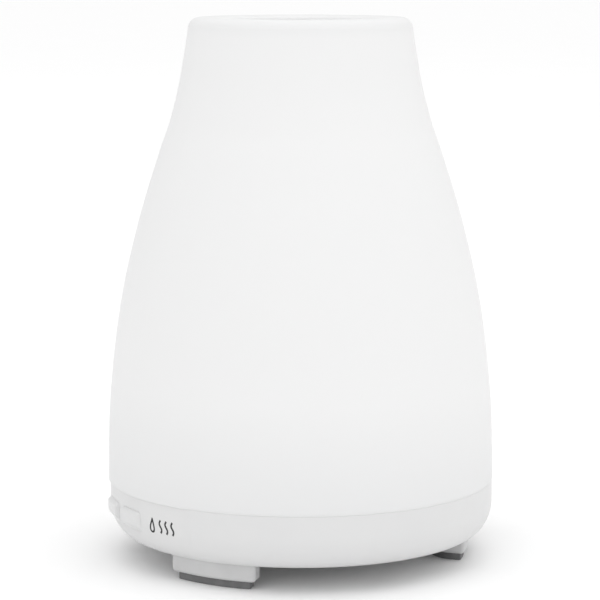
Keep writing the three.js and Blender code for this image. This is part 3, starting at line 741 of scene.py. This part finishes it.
def make_button(label, side):
    """A cap that follows the round wall, with a soft edge and a flange behind the wall."""
    loops = []
    for grow, proud in ((0.7, -3.6), (0.7, -3.05), (0, -3.0)):
        loops.append([wall_point(x, z, proud) for x, z in button_outline(side, grow)])
    for k in range(9):
        share = k / 8
        fall = 1 - math.sin(math.pi / 2 * share)
        outline = button_outline(side, -BUTTON_EDGE * share)
        loops.append([wall_point(x, z, button_proud(z) - button_step(z) * fall) for x, z in outline])
    middle = (BUTTON_Z[0] + BUTTON_Z[1]) / 2
    rim_line = button_outline(side, -BUTTON_EDGE)
    centre = side * BUTTON_X
    for share in (0.92, 0.84, 0.74, 0.64, 0.52, 0.4, 0.28, 0.15):
        shrunk = [(centre + (x - centre) * share, middle + (z - middle) * share) for x, z in rim_line]
        loops.append([wall_point(x, z, button_proud(z)) for x, z in shrunk])
    cap = stacked(f"{label}_button_cap", loops)
    finish_piece(cap, BUTTON, f"{label}_button", "housing_satin", f"{label}_button")


for label, side in (("light", -1), ("mist", 1)):
    make_button(label, side)


# ---- Printed pictograms ----
INK_HEIGHT = 0.03
STROKE = 0.62
LAMP_STROKE = 0.42


def on_panel(u, v, angle, z, height):
    """A point u along the wall and v up from a spot on the recessed panel."""
    r = base_radius(z + v) - PANEL_DEPTH + height
    x, y = on_circle(r, angle + math.degrees(u / BASE_R))
    return x, y, z + v


def ribbon(name, line, angle, z, closed=False, width=STROKE):
    """A printed stroke along a line of (u, v) points."""
    count = len(line)
    loops = []
    for i, p in enumerate(line):
        before = line[i - 1] if i or closed else p
        after = line[(i + 1) % count] if i + 1 < count or closed else p
        along = (Vector(after) - Vector(before)).normalized()
        across = Vector((-along.y, along.x)) * width / 2
        a, b = Vector(p) + across, Vector(p) - across
        corners = ((a, -0.02), (a, INK_HEIGHT), (b, INK_HEIGHT), (b, -0.02))
        loops.append([on_panel(*spot, angle, z, height) for spot, height in corners])
    return stacked(name, loops, ring=closed)


def drop_line(u, v, size):
    """Outline of a water drop with its tip up."""
    line = []
    for k in range(40):
        t = 2 * math.pi * k / 40
        narrow = math.sin(t / 2) ** 1.6
        line.append((u + size * 0.62 * math.sin(t) * narrow, v + size * math.cos(t) * (0.95 if t else 1)))
    return line


def wave_line(u, v, height, swing):
    steps = [k / 24 for k in range(25)]
    return [(u + swing * math.sin(2 * math.pi * t), v + height * (t - 0.5)) for t in steps]


LABEL_Z = 17.3
LABEL_ANGLE = 23.1


def make_mist_symbol():
    strokes = [ribbon("drop", drop_line(-4.4, -0.1, 2.1), LABEL_ANGLE, LABEL_Z, closed=True)]
    for u in (-0.6, 1.9, 4.4):
        strokes.append(ribbon("wave", wave_line(u, 0, 3.9, 0.5), LABEL_ANGLE, LABEL_Z))
    symbol = join("mist_symbol", *strokes)
    finish_piece(symbol, INK, "base", "pad_rubber")


def make_light_symbol():
    turns = [2 * math.pi * k / 32 for k in range(32)]
    ring = [(1.05 * math.sin(a), 1.05 * math.cos(a)) for a in turns]
    strokes = [ribbon("sun", ring, -LABEL_ANGLE, LABEL_Z, closed=True, width=LAMP_STROKE)]
    for k in range(8):
        a = math.pi / 4 * k
        ray = [(r * math.sin(a), r * math.cos(a)) for r in (1.6, 1.85, 2.15)]
        strokes.append(ribbon("ray", ray, -LABEL_ANGLE, LABEL_Z, width=LAMP_STROKE))
    symbol = join("light_symbol", *strokes)
    finish_piece(symbol, INK, "base", "pad_rubber")


make_mist_symbol()
make_light_symbol()


# ---- Small turned and moulded shapes ----
def rim(r, z, edge, start, end):
    """A rounded edge of a turned profile."""
    return arc(r, z, edge, edge, start, end, 5)


def soft_block(name, low, high, edge=0.25, corner=None):
    """A block with rounded edges between two corners."""
    centre = ((low[0] + high[0]) / 2, (low[1] + high[1]) / 2)
    half = ((high[0] - low[0]) / 2, (high[1] - low[1]) / 2)
    corner = edge if corner is None else corner
    loops = []
    for z, side in ((low[2], -1), (high[2], 1)):
        steps = [math.pi / 2 * k / 3 for k in range(4)]
        for a in steps if side < 0 else reversed(steps):
            inset = -edge * (1 - math.sin(a))
            outline = rectangle_loop(*centre, *half, corner, inset, steps=3)
            loops.append([(x, y, z - side * edge * (1 - math.cos(a))) for x, y in outline])
    return stacked(name, loops)


def slab(name, outline, bottom, top, edge):
    """A plate whose outline(grow) gives (x, y) points, with its upper and lower edges broken."""
    steps = ((bottom, -edge), (bottom + edge, 0), (top - edge, 0), (top, -edge))
    return stacked(name, [[(x, y, z) for x, y in outline(grow)] for z, grow in steps])


def centre_of(low, high):
    return (low.x + high.x) / 2, (low.y + high.y) / 2


def round_node(node):
    """A round CAD node's centre, radius, bottom and top."""
    low, high = mm_box(node)
    return centre_of(low, high), (high.x - low.x) / 2, low.z, high.z


def drill(r, bottom, top, spot=(0, 0), segments=24):
    """A cutter for a round upright hole."""
    return turned("drill", [(0, bottom), (r, bottom), (r, top), (0, top)], segments, spot)


def cross(x, y, arm, half, bottom, top, edge):
    """Cutters for a cross-shaped slot, with the bars' half length and half width."""
    bars = ((arm, half), (half, arm))
    return [soft_block("bar", (x - w, y - d, bottom), (x + w, y + d, top), edge) for w, d in bars]


def along_y(name, profile, x, z, segments=40):
    """A closed profile of (radius, y) points turned about an axis that runs front to back."""
    return turned(name, profile, segments, shift=lambda px, py, pz: (px + x, pz, py + z))


THREAD_PITCH = 0.9


def make_screw(node, direction):
    """A cross-head screw that points up (1) or down (-1), sized from its CAD solid."""
    centre, head_r, bottom, top = round_node(node)
    head_h, shank_r = head_r * 0.52, head_r * 0.5
    length = top - bottom
    tail = length - shank_r
    profile = [(0, 0), (head_r * 0.45, 0.04), *arc(head_r - 0.5, 0.5, 0.5, 0.42, -80, 0, 6)]
    profile += [(head_r, head_h), (shank_r * 0.8, head_h)]
    for k in range(int((tail - head_h) / THREAD_PITCH)):
        d = head_h + 0.2 + k * THREAD_PITCH
        profile.append((shank_r * 0.78, d))
        profile += [(shank_r, d + THREAD_PITCH * 0.4), (shank_r, d + THREAD_PITCH * 0.55)]
    profile += [(shank_r * 0.78, tail), (0, length)]
    start = bottom if direction > 0 else top
    screw = turned(node + "_threaded", [(r, start + direction * d) for r, d in profile], 32, centre)
    ends = sorted((start - direction, start + direction * head_h * 0.75))
    boolean(screw, cross(*centre, head_r * 0.58, head_r * 0.2, *ends, 0.08))
    finish_piece(screw, STEEL, "base", "steel", node)


# ---- Cover funnel, mist guide and chimney ----
def make_cover_funnel():
    low, high = mm_box("cover_funnel")
    top, bottom = high.z, low.z
    flange_r = high.x
    throat = [(SPOUT_R + 0.5, 151.6), (SPOUT_R, bottom + 0.4)]
    upper = spline([(21.1, top), (19.6, top - 3), (15.6, 154.8), *throat], 28)
    lip = rim(SPOUT_R + 1, bottom + 0.8, 0.8, 200, 340)
    under = spline([(SPOUT_R + 2, 150.3), (17, 152.8), (22, top - 1.8)], 16)
    flange = [(flange_r - 0.3, top - 1.8), (flange_r, top - 1.5)]
    flange += [(flange_r, top - 0.3), (flange_r - 0.3, top)]
    funnel = turned("funnel_insert", [*upper, *lip, *under, *flange], 192)
    finish_piece(funnel, FROSTED, "outer_cover", "cover_frosted", "cover_funnel")


def make_inner_cover():
    """Bell with a brim that sits on the tank and a collar that holds the chimney."""
    brim_z, brim_r = BRIM_Z, guide_high.x
    bell = spline([(50.2, brim_z + 1.9), (42, brim_z + 5), (26, 84), (16, 98), (COLLAR_R, 105)], 48)
    lining = [(r - GUIDE_WALL, z) for r, z in reversed(bell[:-8])]
    collar_inner = COLLAR_R - GUIDE_WALL
    collar = [(COLLAR_R, COLLAR_TOP_Z - 0.5), *rim(COLLAR_R - 0.5, COLLAR_TOP_Z - 0.5, 0.5, 10, 90)]
    collar += [(collar_inner + 0.3, COLLAR_TOP_Z), (collar_inner, COLLAR_TOP_Z - 0.3)]
    ledge = [(collar_inner, LEDGE_Z), (CHIMNEY_R - 1.2, LEDGE_Z), (CHIMNEY_R - 1.2, LEDGE_Z - 1.4)]
    brim = [(brim_r - 0.3, brim_z), (brim_r, brim_z + 0.3), *rim(brim_r - 0.7, brim_z + 1.2, 0.7, 0, 90)]
    plug = [(46.95, 63.3), (47.25, 63), (TANK_R - 0.65, 63), (TANK_R - 0.35, 63.3), (TANK_R - 0.35, brim_z)]
    profile = [*plug, *brim, *bell, *collar, *ledge, *lining]
    cover = turned("mist_guide", profile, 192)
    tabs = []
    for k in range(4):
        outline = sector_loop((46.2, 47.6), 45 + 90 * k, 9, (0.5, 0.5))
        tabs.append(stacked("grip_rib", [[(x, y, z) for x, y in outline] for z in (63.4, 66, 69.5)]))
    guide = join("mist_guide_bell", cover, *tabs)
    finish_piece(guide, TANK, "inner_cover", "tank_white", "inner_cover")


def make_chimney():
    low, high = mm_box("mist_chimney")
    r1, r0 = high.x, high.x - GUIDE_WALL
    mid, half = (r0 + r1) / 2, (r1 - r0) / 2
    wall = [(r1, low.z + half + (high.z - low.z - 2 * half) * k / 6) for k in range(7)]
    back = [(r0, z) for _, z in reversed(wall)]
    upper = rim(mid, high.z - half, half, 15, 165)
    lower = rim(mid, low.z + half, half, 195, 345)
    profile = [*wall, *upper, *back, *lower]
    finish_piece(turned("chimney_tube", profile, 128), TANK, "inner_cover", "tank_white", "mist_chimney")


make_cover_funnel()
make_inner_cover()
make_chimney()


# ---- Water tank ----
def make_water_tank():
    outer = TANK_R + TANK_WALL
    top, spigot = tank_high.z, tank_high.x
    foot = tank_low.z
    well = [(WELL_R, 36.2), (WELL_R, 38.1), *rim(WELL_R + 0.8, 38.1, 0.8, 170, 100)]
    floor = spline([(WELL_R + 1.4, 38.9), (WELL_R + 3, 39.6), (24, 40.3), (TANK_R - 5, 41)], 14)
    wall = [*arc(TANK_R - 4, 45.2, 4, 4.1, -80, 0, 10), (TANK_R, FILL_Z - 0.6)]
    ridge = [(TANK_R - 0.35, FILL_Z - 0.35), (TANK_R - 0.5, FILL_Z), (TANK_R - 0.35, FILL_Z + 0.35)]
    edge = [(TANK_R, FILL_Z + 0.6), (TANK_R + 0.4, top - 0.8), *rim(TANK_R + 0.9, top - 0.5, 0.5, 170, 95)]
    edge += [*rim(outer - 0.1, top - 0.5, 0.5, 85, 10), (outer + 0.4, top - 1), (outer, 33)]
    shoulder = [*arc(outer + 2, 31, 2, 2, 180, 262, 8), (spigot - 1, 29), *rim(spigot - 1, 28, 1, 80, 5)]
    skirt = [(spigot, foot + 0.4), (spigot - 0.4, foot), (spigot - 1.9, foot), (spigot - 2.2, foot + 0.3)]
    under = [(spigot - 2.2, 26.8), (TANK_R, 26.8), (TANK_R, 37.2)]
    under += [(TANK_R - 1.5, 38.7), (16, 37.4), (14.6, 36.6)]
    cup = [(14.6, 32.2), (12.6, 32.2), (12.6, 36.2)]
    tank = turned("tank_bowl", [*well, *floor, *wall, *ridge, *edge, *shoulder, *skirt, *under, *cup], 256)
    bore = DUCT_R + DUCT_WALL + 0.35
    boolean(tank, [drill(bore, 34, 50, (0, FAN_Y), 64)])
    posts = []
    for angles, ring_r, *sizes in (
        (RETAINER_ANGLES, RETAINER_SCREW_R, 2.8, 1.4, 32.3, 38.2),
        (LED_SCREW_ANGLES, LED_RING_R, 2.4, 1.2, 36.6, 38.6),
        (SCREW_ANGLES, SCREW_RING_R, 3.4, 1.85, 24.4, 28),
    ):
        posts += [boss(*sizes, on_circle(ring_r, angle)) for angle in angles]
    bowl = join("tank_moulding", tank, *posts)
    finish_piece(bowl, TANK, "base", "tank_white", "water_tank")
    marks = []
    for z, span in ((48, 4), (51, 4), (54, 4), (FILL_Z + 1.9, 8)):
        outline = sector_loop((TANK_R - 0.25, TANK_R + 0.3), LEVEL_ANGLE, span, (0.2, 0.2))
        marks.append(stacked("mark", [[(x, y, z + dz) for x, y in outline] for dz in (-0.3, 0.3)]))
    finish_piece(join("level_marks", *marks), TANK, "base", "tank_white")


def boss(r, bore, low, high, centre):
    """A hollow post with a rounded lower edge."""
    profile = [(bore, low + 0.3), *rim(r - 0.3, low + 0.3, 0.3, -80, -10), (r, high), (bore, high)]
    return turned("boss", profile, 32, centre)


def make_air_tube():
    low, high = mm_box("air_tube")
    r0, r1 = DUCT_R, DUCT_R + DUCT_WALL
    flange_r = high.x
    mid, half = (r0 + r1) / 2, DUCT_WALL / 2
    flange_z = 41.1
    lower = [(r0, low.z + 0.4), (r0 + 0.4, low.z), (r1 - 0.4, low.z), (r1, low.z + 0.4), (r1, flange_z)]
    flange = [(flange_r - 0.2, flange_z), (flange_r, flange_z + 0.3)]
    flange += rim(flange_r - 0.5, flange_z + 0.7, 0.5, 0, 90)
    flange += arc(r1 + 0.6, flange_z + 1.8, 0.6, 0.6, 262, 188, 5)
    upper = [(r1, high.z - half), *rim(mid, high.z - half, half, 15, 165), (r0, high.z - half)]
    tube = turned("air_riser", [*lower, *flange, *upper], 96, (0, FAN_Y))
    finish_piece(tube, TANK, "base", "tank_white", "air_tube")


make_water_tank()
make_air_tube()


# ---- Ultrasonic disc ----
def make_disc():
    low, high = mm_box("ultrasonic_disc")
    r, z0, z1 = high.x, low.z, high.z
    face = [(0, z1 - 0.06), (5.6, z1 - 0.06), (5.9, z1), (r - 0.25, z1), (r, z1 - 0.25)]
    disc = turned("disc_face", [*face, (r, z0 + 0.25), (r - 0.25, z0), (0, z0)], 128)
    finish_piece(disc, NICKEL, "base", "brass", "ultrasonic_disc")
    low, high = mm_box("disc_seal")
    r, z0, z1 = high.x, low.z, high.z
    outside = [*rim(r - 0.5, z0 + 0.5, 0.5, -90, 0), *rim(r - 0.5, z1 - 0.5, 0.5, 0, 90)]
    inside = [*rim(9, z1 - 0.35, 0.35, 90, 180), (8.65, 35.2), (10.3, 35.2), (10.3, 33.6), (8.65, 33.6)]
    seal = turned("silicone_seal", [*outside, *inside, *rim(9, z0 + 0.35, 0.35, 180, 270)], 96)
    finish_piece(seal, SILICONE, "base", "seal_silicone", "disc_seal")


make_disc()

for i in range(1, 4):
    for kind in ("base_screw", "retainer_screw", "led_board_screw"):
        make_screw(f"{kind}_{i}", 1)
for kind, count in (("main_board_screw", 4), ("fan_screw", 2)):
    for i in range(1, count + 1):
        make_screw(f"{kind}_{i}", -1)


# ---- Fan and duct ----
FAN_BORE_R = 13.6
FAN_HOLE = 12.6
HUB_R = 6.4
BLADE_TIP_R = 12.9
BLADES = 7


def make_fan_frame():
    low, high = mm_box("fan_frame")
    half = (high.x - low.x) / 2
    frame_box = soft_block("fan_box", (-half, FAN_Y - half, low.z), (half, FAN_Y + half, high.z), 0.4, 2.2)
    flare = FAN_BORE_R + 0.8
    bore = [(0, low.z - 1), (flare, low.z - 1), (FAN_BORE_R, low.z + 0.8)]
    bore += [(FAN_BORE_R, high.z - 0.8), (flare, high.z + 1), (0, high.z + 1)]
    cutters = [turned("bore", bore, 96, (0, FAN_Y))]
    for sx in (-1, 1):
        for sy in (-1, 1):
            spot = (sx * FAN_HOLE, FAN_Y + sy * FAN_HOLE)
            cutters.append(drill(1.3, low.z - 1, high.z + 1, spot))
    boolean(frame_box, cutters)
    plate = low.z + 1.3
    hub = [(1.3, low.z + 0.2), (5.8, low.z + 0.05), (6, low.z + 0.25), (6, plate)]
    hub += [(2.4, plate), (2.4, plate + 4.2), (1.3, plate + 4.2)]
    parts = [turned("hub", hub, 64, (0, FAN_Y))]
    for angle in (60, 180, 300):
        parts.append(spoke(angle, 5.5, FAN_BORE_R + 0.3, low.z, plate))
    fan = join("fan_housing", frame_box, *parts)
    finish_piece(fan, BLACK, "base", "black_plastic", "fan_frame")


def spoke(angle, r0, r1, low, high):
    """A strut of the fan frame, swept a little round the hub."""
    loops = []
    for k in range(9):
        t = k / 8
        r = r0 + (r1 - r0) * t
        turn = angle + 14 * t
        x, y = on_circle(r, turn)
        ax, ay = on_circle(0.8, turn + 90)
        sides = [(-1, low + 0.15), (-1, high), (1, high), (1, low + 0.15)]
        loops.append([(x + side * ax, y + side * ay + FAN_Y, z) for side, z in sides])
    return stacked("spoke", loops)


def make_fan_rotor():
    low, high = mm_box("fan_rotor")
    z0, z1 = FAN_ROTOR_Z
    profile = [(0, z1), (HUB_R - 0.7, z1), *rim(HUB_R - 0.6, z1 - 0.6, 0.6, 80, 0), (HUB_R, z0)]
    profile += [(5.2, z0), (5.2, z1 - 1), (0.95, z1 - 1), (0.95, low.z + 0.2), (0.8, low.z), (0, low.z)]
    cup = turned("cup", profile, 64, (0, FAN_Y))
    blades = [fan_blade(360 / BLADES * k, z0 + 0.2, z1 - 0.3) for k in range(BLADES)]
    rotor = join("fan_impeller", cup, *blades)
    finish_piece(rotor, BLACK, "fan_rotor", "black_plastic", "fan_rotor")


def fan_blade(angle, low, high):
    """A curved blade whose pitch falls towards its tip."""
    loops = []
    for j in range(9):
        t = j / 8
        r = HUB_R - 0.3 + (BLADE_TIP_R - HUB_R + 0.3) * t
        chord = 34 - 4 * t
        height = (high - low) * (1 - 0.18 * t)
        top, bottom = [], []
        for k in range(7):
            s = k / 6
            turn = angle + 8 * t + chord * (s - 0.5)
            lift = high - height * s - 0.5 * math.sin(math.pi * s)
            x, y = on_circle(r, turn)
            thick = 0.28 * math.sin(math.pi * min(max(s, 0.08), 0.92)) + 0.1
            top.append((x, y + FAN_Y, lift + thick))
            bottom.append((x, y + FAN_Y, lift - thick))
        loops.append(top + bottom[::-1])
    return stacked("blade", loops)


def make_air_duct():
    low, high = mm_box("air_duct")
    neck = DUCT_R - 0.3
    r, z0, z1 = high.x, low.z, high.z
    outline = [(12.2, z0 + 0.2), (12.4, z0), (r - 0.3, z0), (r, z0 + 0.3), (r, z0 + 2.6)]
    outline += spline([(r - 0.2, z0 + 3.3), (11.4, 26.5), (neck + 1.7, 30.4), (neck + 1.5, 32)], 14)
    outline += [(neck + 1.5, z1 - 0.3), (neck + 1.2, z1), (neck + 0.3, z1), (neck, z1 - 0.3)]
    outline += spline([(neck, 32), (neck + 0.2, 30.2), (10, 26.2), (12.1, z0 + 3)], 14)
    duct = turned("duct_funnel", outline, 96, (0, FAN_Y))
    finish_piece(duct, BLACK, "base", "black_plastic", "air_duct")


make_fan_frame()
make_fan_rotor()
make_air_duct()


# ---- Power inlet ----
def make_power_jack():
    low, high = mm_box("power_jack")
    front = high.y
    body = soft_block("jack_box", (low.x, low.y, low.z), (high.x, front - 4.4, high.z), 0.4)
    shape = [(0, front - 5.5), (4.6, front - 5.5), (4.6, front - 0.4), (4.2, front), (0, front)]
    nose = along_y("jack_nose", shape, 0, JACK_Z, 64)
    floor, mouth = front - 10.8, front + 1
    flared = [(0, floor), (3, floor), (3, front - 0.5), (3.5, front + 0.1), (3.5, mouth), (0, mouth)]
    straight = [(0, floor), (3, floor), (3, mouth), (0, mouth)]
    boolean(nose, [along_y("jack_bore", flared, 0, JACK_Z, 64)])
    boolean(body, [along_y("jack_bore", straight, 0, JACK_Z, 64)])
    finish_piece(join("power_inlet", body, nose), BLACK, "base", "black_plastic", "power_jack")
    shape = [(0, front - 11.3), (1, front - 11.3), (1, front - 5.3)]
    shape += [(0.9, front - 4.9), (0.55, front - 4.7), (0, front - 4.65)]
    finish_piece(along_y("inlet_pin", shape, 0, JACK_Z), STEEL, "base", "steel")


make_power_jack()


# ---- Circuit boards and what stands on them ----
def chip(x, y, z, w, d, h):
    return soft_block("chip", (x - w / 2, y - d / 2, z), (x + w / 2, y + d / 2, z + h), 0.1)


def make_main_board():
    low, high = mm_box("main_board")
    board = soft_block("control_board", low, high, 0.12, 3)
    boolean(board, [drill(1.4, low.z - 1, high.z + 1, spot) for spot in BOARD_POSTS])
    finish_piece(board, BOARD, "base", "board_green", "main_board")
    top = high.z
    chips = [chip(-20, -22, top, 6, 5, 1.4)]
    chips += [chip(21, y, top, 2, 1.2, 0.6) for y in (-27, -30)]
    chips += [chip(-8 + 3 * k, -24, top, 1.6, 0.8, 0.5) for k in range(4)]
    chips += [chip(20, -36 + 2.4 * k, top, 1.6, 0.8, 0.5) for k in range(2)]
    finish_piece(join("board_chips", *chips), BLACK, "base", "black_plastic")
    joints = []
    for side in (-1, 1):
        joints += [chip(-20 + side * 3.4, -24 + 1.27 * k, top, 1.2, 0.5, 0.25) for k in range(4)]
    joints += [boss(2.5, 1.45, top, top + 0.05, spot) for spot in BOARD_POSTS]
    finish_piece(join("solder_joints", *joints), STEEL, "base", "steel")


def make_inductor():
    """Ferrite bobbin wound with enamelled wire."""
    centre, r, z0, z1 = round_node("inductor")
    profile = [(0, z0), (r - 0.2, z0), (r, z0 + 0.2), (r, z0 + 0.8), (r - 0.2, z0 + 1), (r - 1.6, z0 + 1)]
    profile += [(r - 1.6, z1 - 1), (r - 0.2, z1 - 1), (r, z1 - 0.8), (r, z1 - 0.2), (r - 0.2, z1), (0, z1)]
    finish_piece(turned("bobbin", profile, 64, centre), BLACK, "base", "black_plastic", "inductor")
    turns = int((z1 - z0 - 2.1) / WIRE)
    winding = [(r - 1.7, z0 + 1.05)]
    for k in range(turns):
        winding += arc(r - 0.7, z0 + 1.05 + (k + 0.5) * WIRE, WIRE / 2, WIRE / 2, -80, 80, 6)
    winding.append((r - 1.7, z0 + 1.05 + turns * WIRE))
    finish_piece(turned("winding", winding, 64, centre, sharp_angle=50), COPPER, "base", "copper_wire")


def make_capacitor():
    """Aluminium can in a shrunk sleeve, with its scored top."""
    centre, r, z0, z1 = round_node("capacitor")
    profile = [(r - 0.6, z0), (r, z0 + 0.6), (r, z0 + 1.2), (r - 0.35, z0 + 1.6), (r, z0 + 2)]
    profile += [(r, z1 - 0.5), (r - 0.4, z1 - 0.05), (r - 0.9, z1 - 0.02), (r - 0.9, z1 - 0.3)]
    profile += [(0, z1 - 0.3), (0, z0)]
    sleeve = turned("capacitor_sleeve", profile, 64, centre)
    finish_piece(sleeve, BLACK, "base", "black_plastic", "capacitor")
    r, z = r - 0.95, z1 - 0.06
    profile = [(0, z - 0.22), (r, z - 0.22), (r, z - 0.04), (r - 0.25, z), (0, z)]
    top = turned("capacitor_top", profile, 48, centre)
    boolean(top, cross(*centre, 2.2, 0.12, z1 - 0.2, z1 + 1, 0.05))
    finish_piece(top, STEEL, "base", "steel")


def make_heatsink():
    low, high = mm_box("heatsink")
    x = centre_of(low, high)[0]
    blocks = [soft_block("plate", (low.x, low.y, low.z), (high.x, low.y + 2, high.z), 0.2)]
    for dx in (-5.5, -1.85, 1.85, 5.5):
        corner = (x + dx + 0.6, high.y, high.z)
        blocks.append(soft_block("fin", (x + dx - 0.6, low.y + 1.5, low.z), corner, 0.25))
    finish_piece(join("heatsink_fins", *blocks), STEEL, "base", "steel", "heatsink")
    low, high = mm_box("power_transistor")
    body = soft_block("transistor_case", low, high, 0.3)
    profile = [(0, low.y - 1), (1.1, low.y - 1), (1.1, low.y + 0.35), (0, low.y + 0.35)]
    boolean(body, [along_y("dimple", profile, centre_of(low, high)[0], high.z - 2.4)])
    finish_piece(body, BLACK, "base", "black_plastic", "power_transistor")


def make_header(node, pins):
    """An open-topped wire header with its row of pins."""
    low, high = mm_box(node)
    x, y = centre_of(low, high)
    top = high.z + 2
    shell = soft_block(node + "_shell", low, high, 0.2)
    corners = (low.x + 1, low.y + 1, low.z + 1.5), (high.x - 1, high.y - 1, top)
    pocket = soft_block("pocket", *corners, 0.15)
    key = soft_block("key", (x - 1, low.y - 1, low.z + 2), (x + 1, low.y + 1.5, top), 0.1)
    boolean(shell, [pocket, key])
    finish_piece(shell, SATIN, "base", "housing_satin", node)
    rods = []
    for k in range(pins):
        at = x + (k - (pins - 1) / 2) * 2
        corners = (at - 0.3, y - 0.3, low.z + 1.2), (at + 0.3, y + 0.3, high.z - 1)
        rods.append(soft_block("pin", *corners, 0.15))
    finish_piece(join(node + "_pins", *rods), STEEL, "base", "steel")


def make_switches():
    board = soft_block("switch_board", *mm_box("button_board"), 0.12, 0.4)
    finish_piece(board, BOARD, "base", "board_green", "button_board")
    for label in ("light", "mist"):
        low, high = mm_box(label + "_switch")
        x, z = (low.x + high.x) / 2, (low.z + high.z) / 2
        case = soft_block(label + "_switch_case", low, high, 0.35)
        profile = [(0, low.y - 1), (2, low.y - 1), (2, low.y + 2.3), (0, low.y + 2.3)]
        boolean(case, [along_y("hole", profile, x, z)])
        finish_piece(case, STEEL, "base", "steel", label + "_switch")
        low, high = mm_box(label + "_switch_plunger")
        r, y0, y1 = (high.x - low.x) / 2, low.y, high.y
        profile = [(0, y0), (r - 0.3, y0), (r, y0 + 0.3), (r, y1 - 0.2), (r - 0.2, y1), (0, y1)]
        plunger = along_y(label + "_plunger", profile, x, z)
        finish_piece(plunger, BLACK, label + "_button", "black_plastic", label + "_switch_plunger")


def make_light_ring():
    low, high = mm_box("led_board")
    radii = (LED_RING_R - 3.5, LED_RING_R + 3.5)
    outline = lambda grow: sector_loop(radii, 0, 2 * LED_HALF_ANGLE, (1, 1), grow, 96)
    board = slab("light_ring", outline, low.z, high.z, 0.12)
    spots = [on_circle(LED_RING_R, angle) for angle in LED_SCREW_ANGLES]
    boolean(board, [drill(1.3, low.z - 1, high.z + 1, spot) for spot in spots])
    finish_piece(board, BOARD, "base", "board_green", "led_board")
    resistors = [chip(*on_circle(LED_RING_R, angle), high.z, 1.6, 0.8, 0.3) for angle in range(-60, 61, 30)]
    finish_piece(join("ring_resistors", *resistors), BLACK, "base", "black_plastic")
    for i in range(1, 7):
        centre, r, z0, z1 = round_node(f"led_{i}")
        lens = [(0, z0), (r - 0.1, z0), (r, z0 + 0.1), (r, z0 + 0.28), (r - 0.35, z0 + 0.32)]
        lens += arc(0, z0 + 0.32, r - 0.4, z1 - z0 - 0.32, 5, 90, 10)
        piece = turned(f"led_lens_{i}", lens, 40, centre)
        finish_piece(piece, LENS, "base", "led_lens", f"led_{i}")


def make_retainer():
    low, high = mm_box("disc_retainer")
    z0, z1 = low.z, high.z
    inner, outer, edge = 7, 14.6, 0.25
    profile = [(inner, z0 + edge), (inner + edge, z0), (outer - edge, z0), (outer, z0 + edge)]
    profile += [(outer, z1 - edge), (outer - edge, z1), (inner + edge, z1), (inner, z1 - edge)]
    plate = turned("retainer_plate", profile, 96)
    ears, holes = [], []
    for angle in RETAINER_ANGLES:
        outline = lambda grow, angle=angle: sector_loop((12.8, 20.4), angle, 20, (0.6, 2.4), grow)
        ears.append(slab("ear", outline, z0, z1, 0.2))
        holes.append(drill(1.4, z0 - 1, z1 + 1, on_circle(RETAINER_SCREW_R, angle)))
    boolean(plate, ears, "UNION")
    boolean(plate, holes)
    finish_piece(plate, SATIN, "base", "housing_satin", "disc_retainer")


make_main_board()
make_inductor()
make_capacitor()
make_heatsink()
make_header("disc_connector", 3)
make_header("fan_connector", 2)
make_switches()
make_light_ring()
make_retainer()


# ---- Floor, light and view ----
FLOOR_REACH = 12.0
LIGHT_ELEVATION = 58
LIGHT_TURN = 25
LIGHT_LOW = 0.52
LIGHT_HIGH = 1.17
OVERHEAD_Z = 1.9
OVERHEAD_AIM_Z = 0.08
OVERHEAD_SIZE = 2.6
OVERHEAD_POWER = 7


def make_stage():
    floor = bpy.data.meshes.new("floor")
    corners = [(x * FLOOR_REACH, y * FLOOR_REACH, 0) for x, y in ((-1, -1), (1, -1), (1, 1), (-1, 1))]
    floor.from_pydata(corners, [], [(0, 1, 2, 3)])
    obj = new_object("floor", floor)
    floor.materials.append(pale_floor())
    world = bpy.data.worlds.new("studio")
    world.use_nodes = True
    tree = world.node_tree
    direction = new_node(tree, "TexCoord").outputs["Generated"]
    towards = new_node(tree, "VectorMath")
    towards.operation = "DOT_PRODUCT"
    x, y = on_circle(math.cos(math.radians(LIGHT_ELEVATION)), CAMERA_AZIMUTH + LIGHT_TURN)
    towards.inputs[1].default_value = (x, y, math.sin(math.radians(LIGHT_ELEVATION)))
    tree.links.new(direction, towards.inputs[0])
    fade = new_node(tree, "MapRange", From_Min=-1, From_Max=1, To_Min=LIGHT_LOW, To_Max=LIGHT_HIGH)
    tree.links.new(towards.outputs["Value"], fade.inputs["Value"])
    background = tree.nodes["Background"]
    tree.links.new(fade.outputs["Result"], background.inputs["Strength"])
    background.inputs["Color"].default_value = (1, 1, 1, 1)
    bpy.context.scene.world = world
    bpy.context.scene.view_settings.view_transform = "Standard"


def make_overhead_light():
    """A broad square light, aimed down at the object."""
    data = bpy.data.lights.new("overhead", "AREA")
    data.size = OVERHEAD_SIZE
    data.energy = OVERHEAD_POWER
    obj = bpy.data.objects.new("overhead", data)
    x, y = on_circle(0.01, 0)
    obj.location = (x, y, OVERHEAD_Z)
    back = Vector((x, y, OVERHEAD_Z - OVERHEAD_AIM_Z))
    obj.rotation_euler = back.to_track_quat("Z", "Y").to_euler()
    bpy.context.scene.collection.objects.link(obj)


make_stage()
make_overhead_light()
